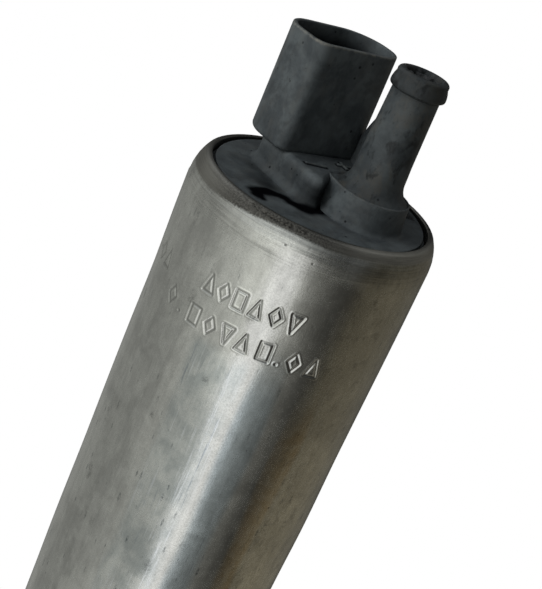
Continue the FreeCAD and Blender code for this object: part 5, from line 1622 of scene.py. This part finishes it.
@dataclass
class Softbox:
    """A soft square lamp, placed by its direction as seen from the pump; metal doesn't mirror it."""

    name: str
    azimuth: float
    height_angle: float
    distance: float
    size: float
    power: float
    aim_height: float = 0.11

    def build(self) -> None:
        """Adds the lamp, aimed at the upper part of the pump."""
        a, e = math.radians(self.azimuth) - VIEW_TURN, math.radians(self.height_angle)
        away = np.array([math.cos(a) * math.cos(e), math.sin(a) * math.cos(e), math.sin(e)])
        data = bpy.data.lights.new(self.name, "AREA")
        data.shape = "SQUARE"
        data.size = self.size
        data.energy = self.power
        lamp = placed(self.name, data)
        lamp.visible_glossy = False
        side = np.cross(-away, (0.0, 0.0, 1.0))
        side /= np.linalg.norm(side)
        lamp.matrix_world = aimed(side, np.cross(side, -away),
                                  np.array([0.0, 0.0, self.aim_height]) + away * self.distance)


@dataclass
class LightTent:
    """A tent of softly glowing cloth round the pump, out of the camera's sight, with a window in front
    through which the white surroundings show. Its glow is a table by direction as seen from the pump."""

    radius: float = 0.6
    middle_height: float = 0.09
    window: tuple[float, float] = (-102.0, -77.0)
    window_top: float = 2.5
    window_slant: float = 5.0

    @staticmethod
    def glow(azimuth: np.ndarray, height_angle: np.ndarray) -> np.ndarray:
        """Brightness by direction: each row of the table is interpolated round the pump, then the rows
        are interpolated by height angle.

        Args:
            azimuth: degrees from the camera's right, on the grid.
            height_angle: degrees above the horizon, on the grid.
        Returns:
            Brightness on the grid.
        """
        low = ((-240, 0.3), (-225, 0.26), (-210, 0.26), (-190, 0.25), (-165, 0.29), (-145, 0.34),
               (-125, 0.35), (-113, 0.37), (-102, 0.4), (-77, 0.9), (-74, 0.3), (-66, 0.24), (-55, 0.15),
               (-42, 0.07), (-30, 0.035), (-20, 0.12), (-5, 0.2), (15, 0.22), (40, 0.19), (55, 0.16),
               (70, 0.06), (90, 0.05))
        mid = ((-240, 0.32), (-225, 0.26), (-210, 0.27), (-190, 0.27), (-165, 0.32), (-145, 0.42),
               (-125, 0.47), (-113, 0.56), (-102, 0.72), (-77, 0.9), (-74, 0.36), (-66, 0.26), (-55, 0.14),
               (-42, 0.07), (-30, 0.028), (-20, 0.1), (-5, 0.18), (15, 0.19), (40, 0.18), (55, 0.15),
               (70, 0.07), (90, 0.05))
        level = ((-215, 0.22), (-180, 0.24), (-150, 0.36), (-128, 0.6), (-112, 1.3), (-92, 1.3), (-82, 0.3),
                 (-70, 0.1), (-50, 0.03), (-10, 0.03), (20, 0.1), (55, 0.14), (75, 0.04), (110, 0.04))
        raised = ((-215, 0.45), (-180, 0.5), (-150, 0.55), (-120, 0.62), (-95, 0.5), (-70, 0.1),
                  (-20, 0.07), (20, 0.16), (50, 0.18), (75, 0.03), (110, 0.03))
        steep = ((-215, 0.85), (-180, 0.7), (-140, 0.5), (-100, 0.3), (-50, 0.16), (0, 0.3), (50, 0.3),
                 (90, 0.12), (120, 0.3))
        table = ((-75.0, low), (-38.0, low), (-24.0, mid), (2.0, level), (25.0, raised), (55.0, steep),
                 (90.0, ((0, 0.33),)))
        steps = np.array([height for height, _ in table])
        rows = np.stack([np.interp(azimuth, *zip(*row), period=360.0) for _, row in table])
        at = np.clip(np.searchsorted(steps, height_angle, side="right") - 1, 0, len(steps) - 2)
        share = unit((height_angle - steps[at]) / (steps[at + 1] - steps[at]))
        below = np.take_along_axis(rows, at[None], 0)[0]
        over = np.take_along_axis(rows, at[None] + 1, 0)[0]
        return below + (over - below) * share

    def build(self) -> None:
        """Makes the tent: a sphere's grid without its lowest part and its window, its glow as a colour
        attribute, warm at the right and cool above."""
        columns = np.arange(-180.0, 180.0, 1.0)
        heights = np.arange(-72.0, 89.0, 3.0)
        tall, azimuth = np.meshgrid(heights, columns, indexing="ij")
        a, e = np.radians(azimuth) - VIEW_TURN, np.radians(tall)
        points = self.radius * np.stack([np.cos(a) * np.cos(e), np.sin(a) * np.cos(e), np.sin(e)], -1)
        points[..., 2] += self.middle_height
        warm = np.exp(-(((azimuth - 10.0) / 60.0) ** 2)) * (tall < 5.0)
        cool = unit(tall / 40.0)
        tint = np.stack([0.985 + 0.06 * warm - 0.03 * cool, 1.0 - 0.01 * warm,
                         0.95 - 0.1 * warm + 0.07 * cool], -1)
        colours = np.ones((*tall.shape, 4))
        colours[..., :3] = self.glow(azimuth, tall)[..., None] * tint
        middle = azimuth[:-1] + 0.5
        left = self.window[0] + self.window_slant * unit((-27.0 - tall[:-1]) / 12.0)
        window = (middle > left) & (middle < self.window[1]) & (tall[:-1] < self.window_top)
        faces = grid_quads(*tall.shape)[~window][:, ::-1]
        mesh = bpy.data.meshes.new("light_tent")
        mesh.from_pydata(points.reshape(-1, 3).tolist(), [], faces.tolist())
        layer = mesh.attributes.new("glow", "FLOAT_COLOR", "POINT")
        layer.data.foreach_set("color", colours.astype(np.float32).ravel())
        made = placed("light_tent", mesh)
        made.visible_camera = False
        cloth = bpy.data.materials.new("glowing_cloth")
        g = Graph.of(cloth)
        glow = g.node("ShaderNodeAttribute", attribute_name="glow").outputs["Color"]
        g.shown("ShaderNodeOutputMaterial", g.fed("ShaderNodeEmission", {"Color": glow})[0])
        mesh.materials.append(cloth)


@dataclass
class Studio:
    """Pale floor, white surroundings, light tent, lamp and the camera at the viewing side."""

    place: Triple = (-133.44556, -136.98570, 183.69781)
    right: Triple = (0.7700537, -0.51932393, 0.37056707)
    up: Triple = (-0.03654852, 0.54398117, 0.83830107)
    lens: float = 74.609
    floor_radius: float = 34.0
    shadow_radius: float = 22.0

    @staticmethod
    def seen_plainly(graph: Graph) -> Socket:
        """1 for rays of the camera and for those that a glossy or clear surface sends on.

        Args:
            graph: the graph that it is for.
        Returns:
            The socket.
        """
        path = graph.node("ShaderNodeLightPath").outputs
        seen = graph.math("MAXIMUM", path["Is Camera Ray"], path["Is Glossy Ray"])
        return graph.math("MAXIMUM", seen, path["Is Transmission Ray"])

    def surroundings(self) -> None:
        """White to the camera and in metal, a plain grey light otherwise."""
        world = bpy.data.worlds.new("studio")
        bpy.context.scene.world = world
        g = Graph.of(world)
        light = g.mix(self.seen_plainly(g), (0.35, 0.35, 0.35), PLAIN)
        g.shown("ShaderNodeOutputWorld", g.fed("ShaderNodeBackground", {"Color": light})[0])

    def floor_paint(self) -> bpy.types.Material:
        """Dull pale paint that turns plain white towards the floor's edge and is clear from below.

        Returns:
            The material.
        """
        paint = bpy.data.materials.new("pale_floor")
        g = Surface.of(paint)
        away = g.math("SQRT", g.total(*(g.product(g.axes[i], g.axes[i]) for i in range(2))))
        plain = g.product(self.seen_plainly(g), g.span(away, self.shadow_radius, self.floor_radius - 1.0))
        shader = g.fed("ShaderNodeBsdfDiffuse", {"Color": (0.82, 0.82, 0.82)})[0]
        white = g.fed("ShaderNodeEmission", {"Color": PLAIN})[0]
        clear = g.node("ShaderNodeBsdfTransparent").outputs[0]
        behind = g.node("ShaderNodeNewGeometry").outputs["Backfacing"]
        for share, other in ((plain, white), (behind, clear)):
            shader = g.fed("ShaderNodeMixShader", {0: share, 1: shader, 2: other})[0]
        g.shown("ShaderNodeOutputMaterial", shader)
        return paint

    def floor(self) -> None:
        """Pale disc just under the pump, which keeps the shadow near the foot."""
        angles = np.linspace(0.0, 2.0 * math.pi, 96, endpoint=False)
        r, a = np.meshgrid(np.linspace(0.01, self.floor_radius, 8), angles, indexing="ij")
        points = np.stack([r * np.cos(a), r * np.sin(a), np.full(r.shape, -0.05)], -1).reshape(-1, 3)
        mesh = bpy.data.meshes.new("studio_floor")
        mesh.from_pydata((points * MM).tolist(), [], grid_quads(*r.shape)[..., ::-1].reshape(-1, 4).tolist())
        mesh.materials.append(self.floor_paint())
        placed("studio_floor", mesh)

    def camera(self) -> None:
        """Sets the camera from its place and its two image directions."""
        data = bpy.data.cameras.new("photo_camera")
        data.sensor_width = 36.0
        data.sensor_fit = "AUTO"
        data.lens = self.lens
        data.clip_start, data.clip_end = 0.005, 10.0
        made = placed("photo_camera", data)
        made.matrix_world = aimed(np.array(self.right), np.array(self.up), np.array(self.place) * MM)
        bpy.context.scene.camera = made

    def build(self) -> None:
        """Sets up the whole studio."""
        bpy.context.scene.view_settings.view_transform = "Standard"
        self.surroundings()
        self.floor()
        LightTent().build()
        Softbox("left_softbox", -145.0, 26.0, 0.56, 0.4, 2.75).build()
        self.camera()
        LOG.info("studio ready")


def main() -> None:
    """Builds the pump piece by piece, then the studio."""
    logging.basicConfig(level=logging.INFO, format="%(name)s %(message)s")
    PumpCan().build()
    OutletCover().build()
    CarriedPieces(SPRUNG).build({"pump_can", "outlet_cover"})
    Studio().build()


if __name__ == "__main__":
    main()
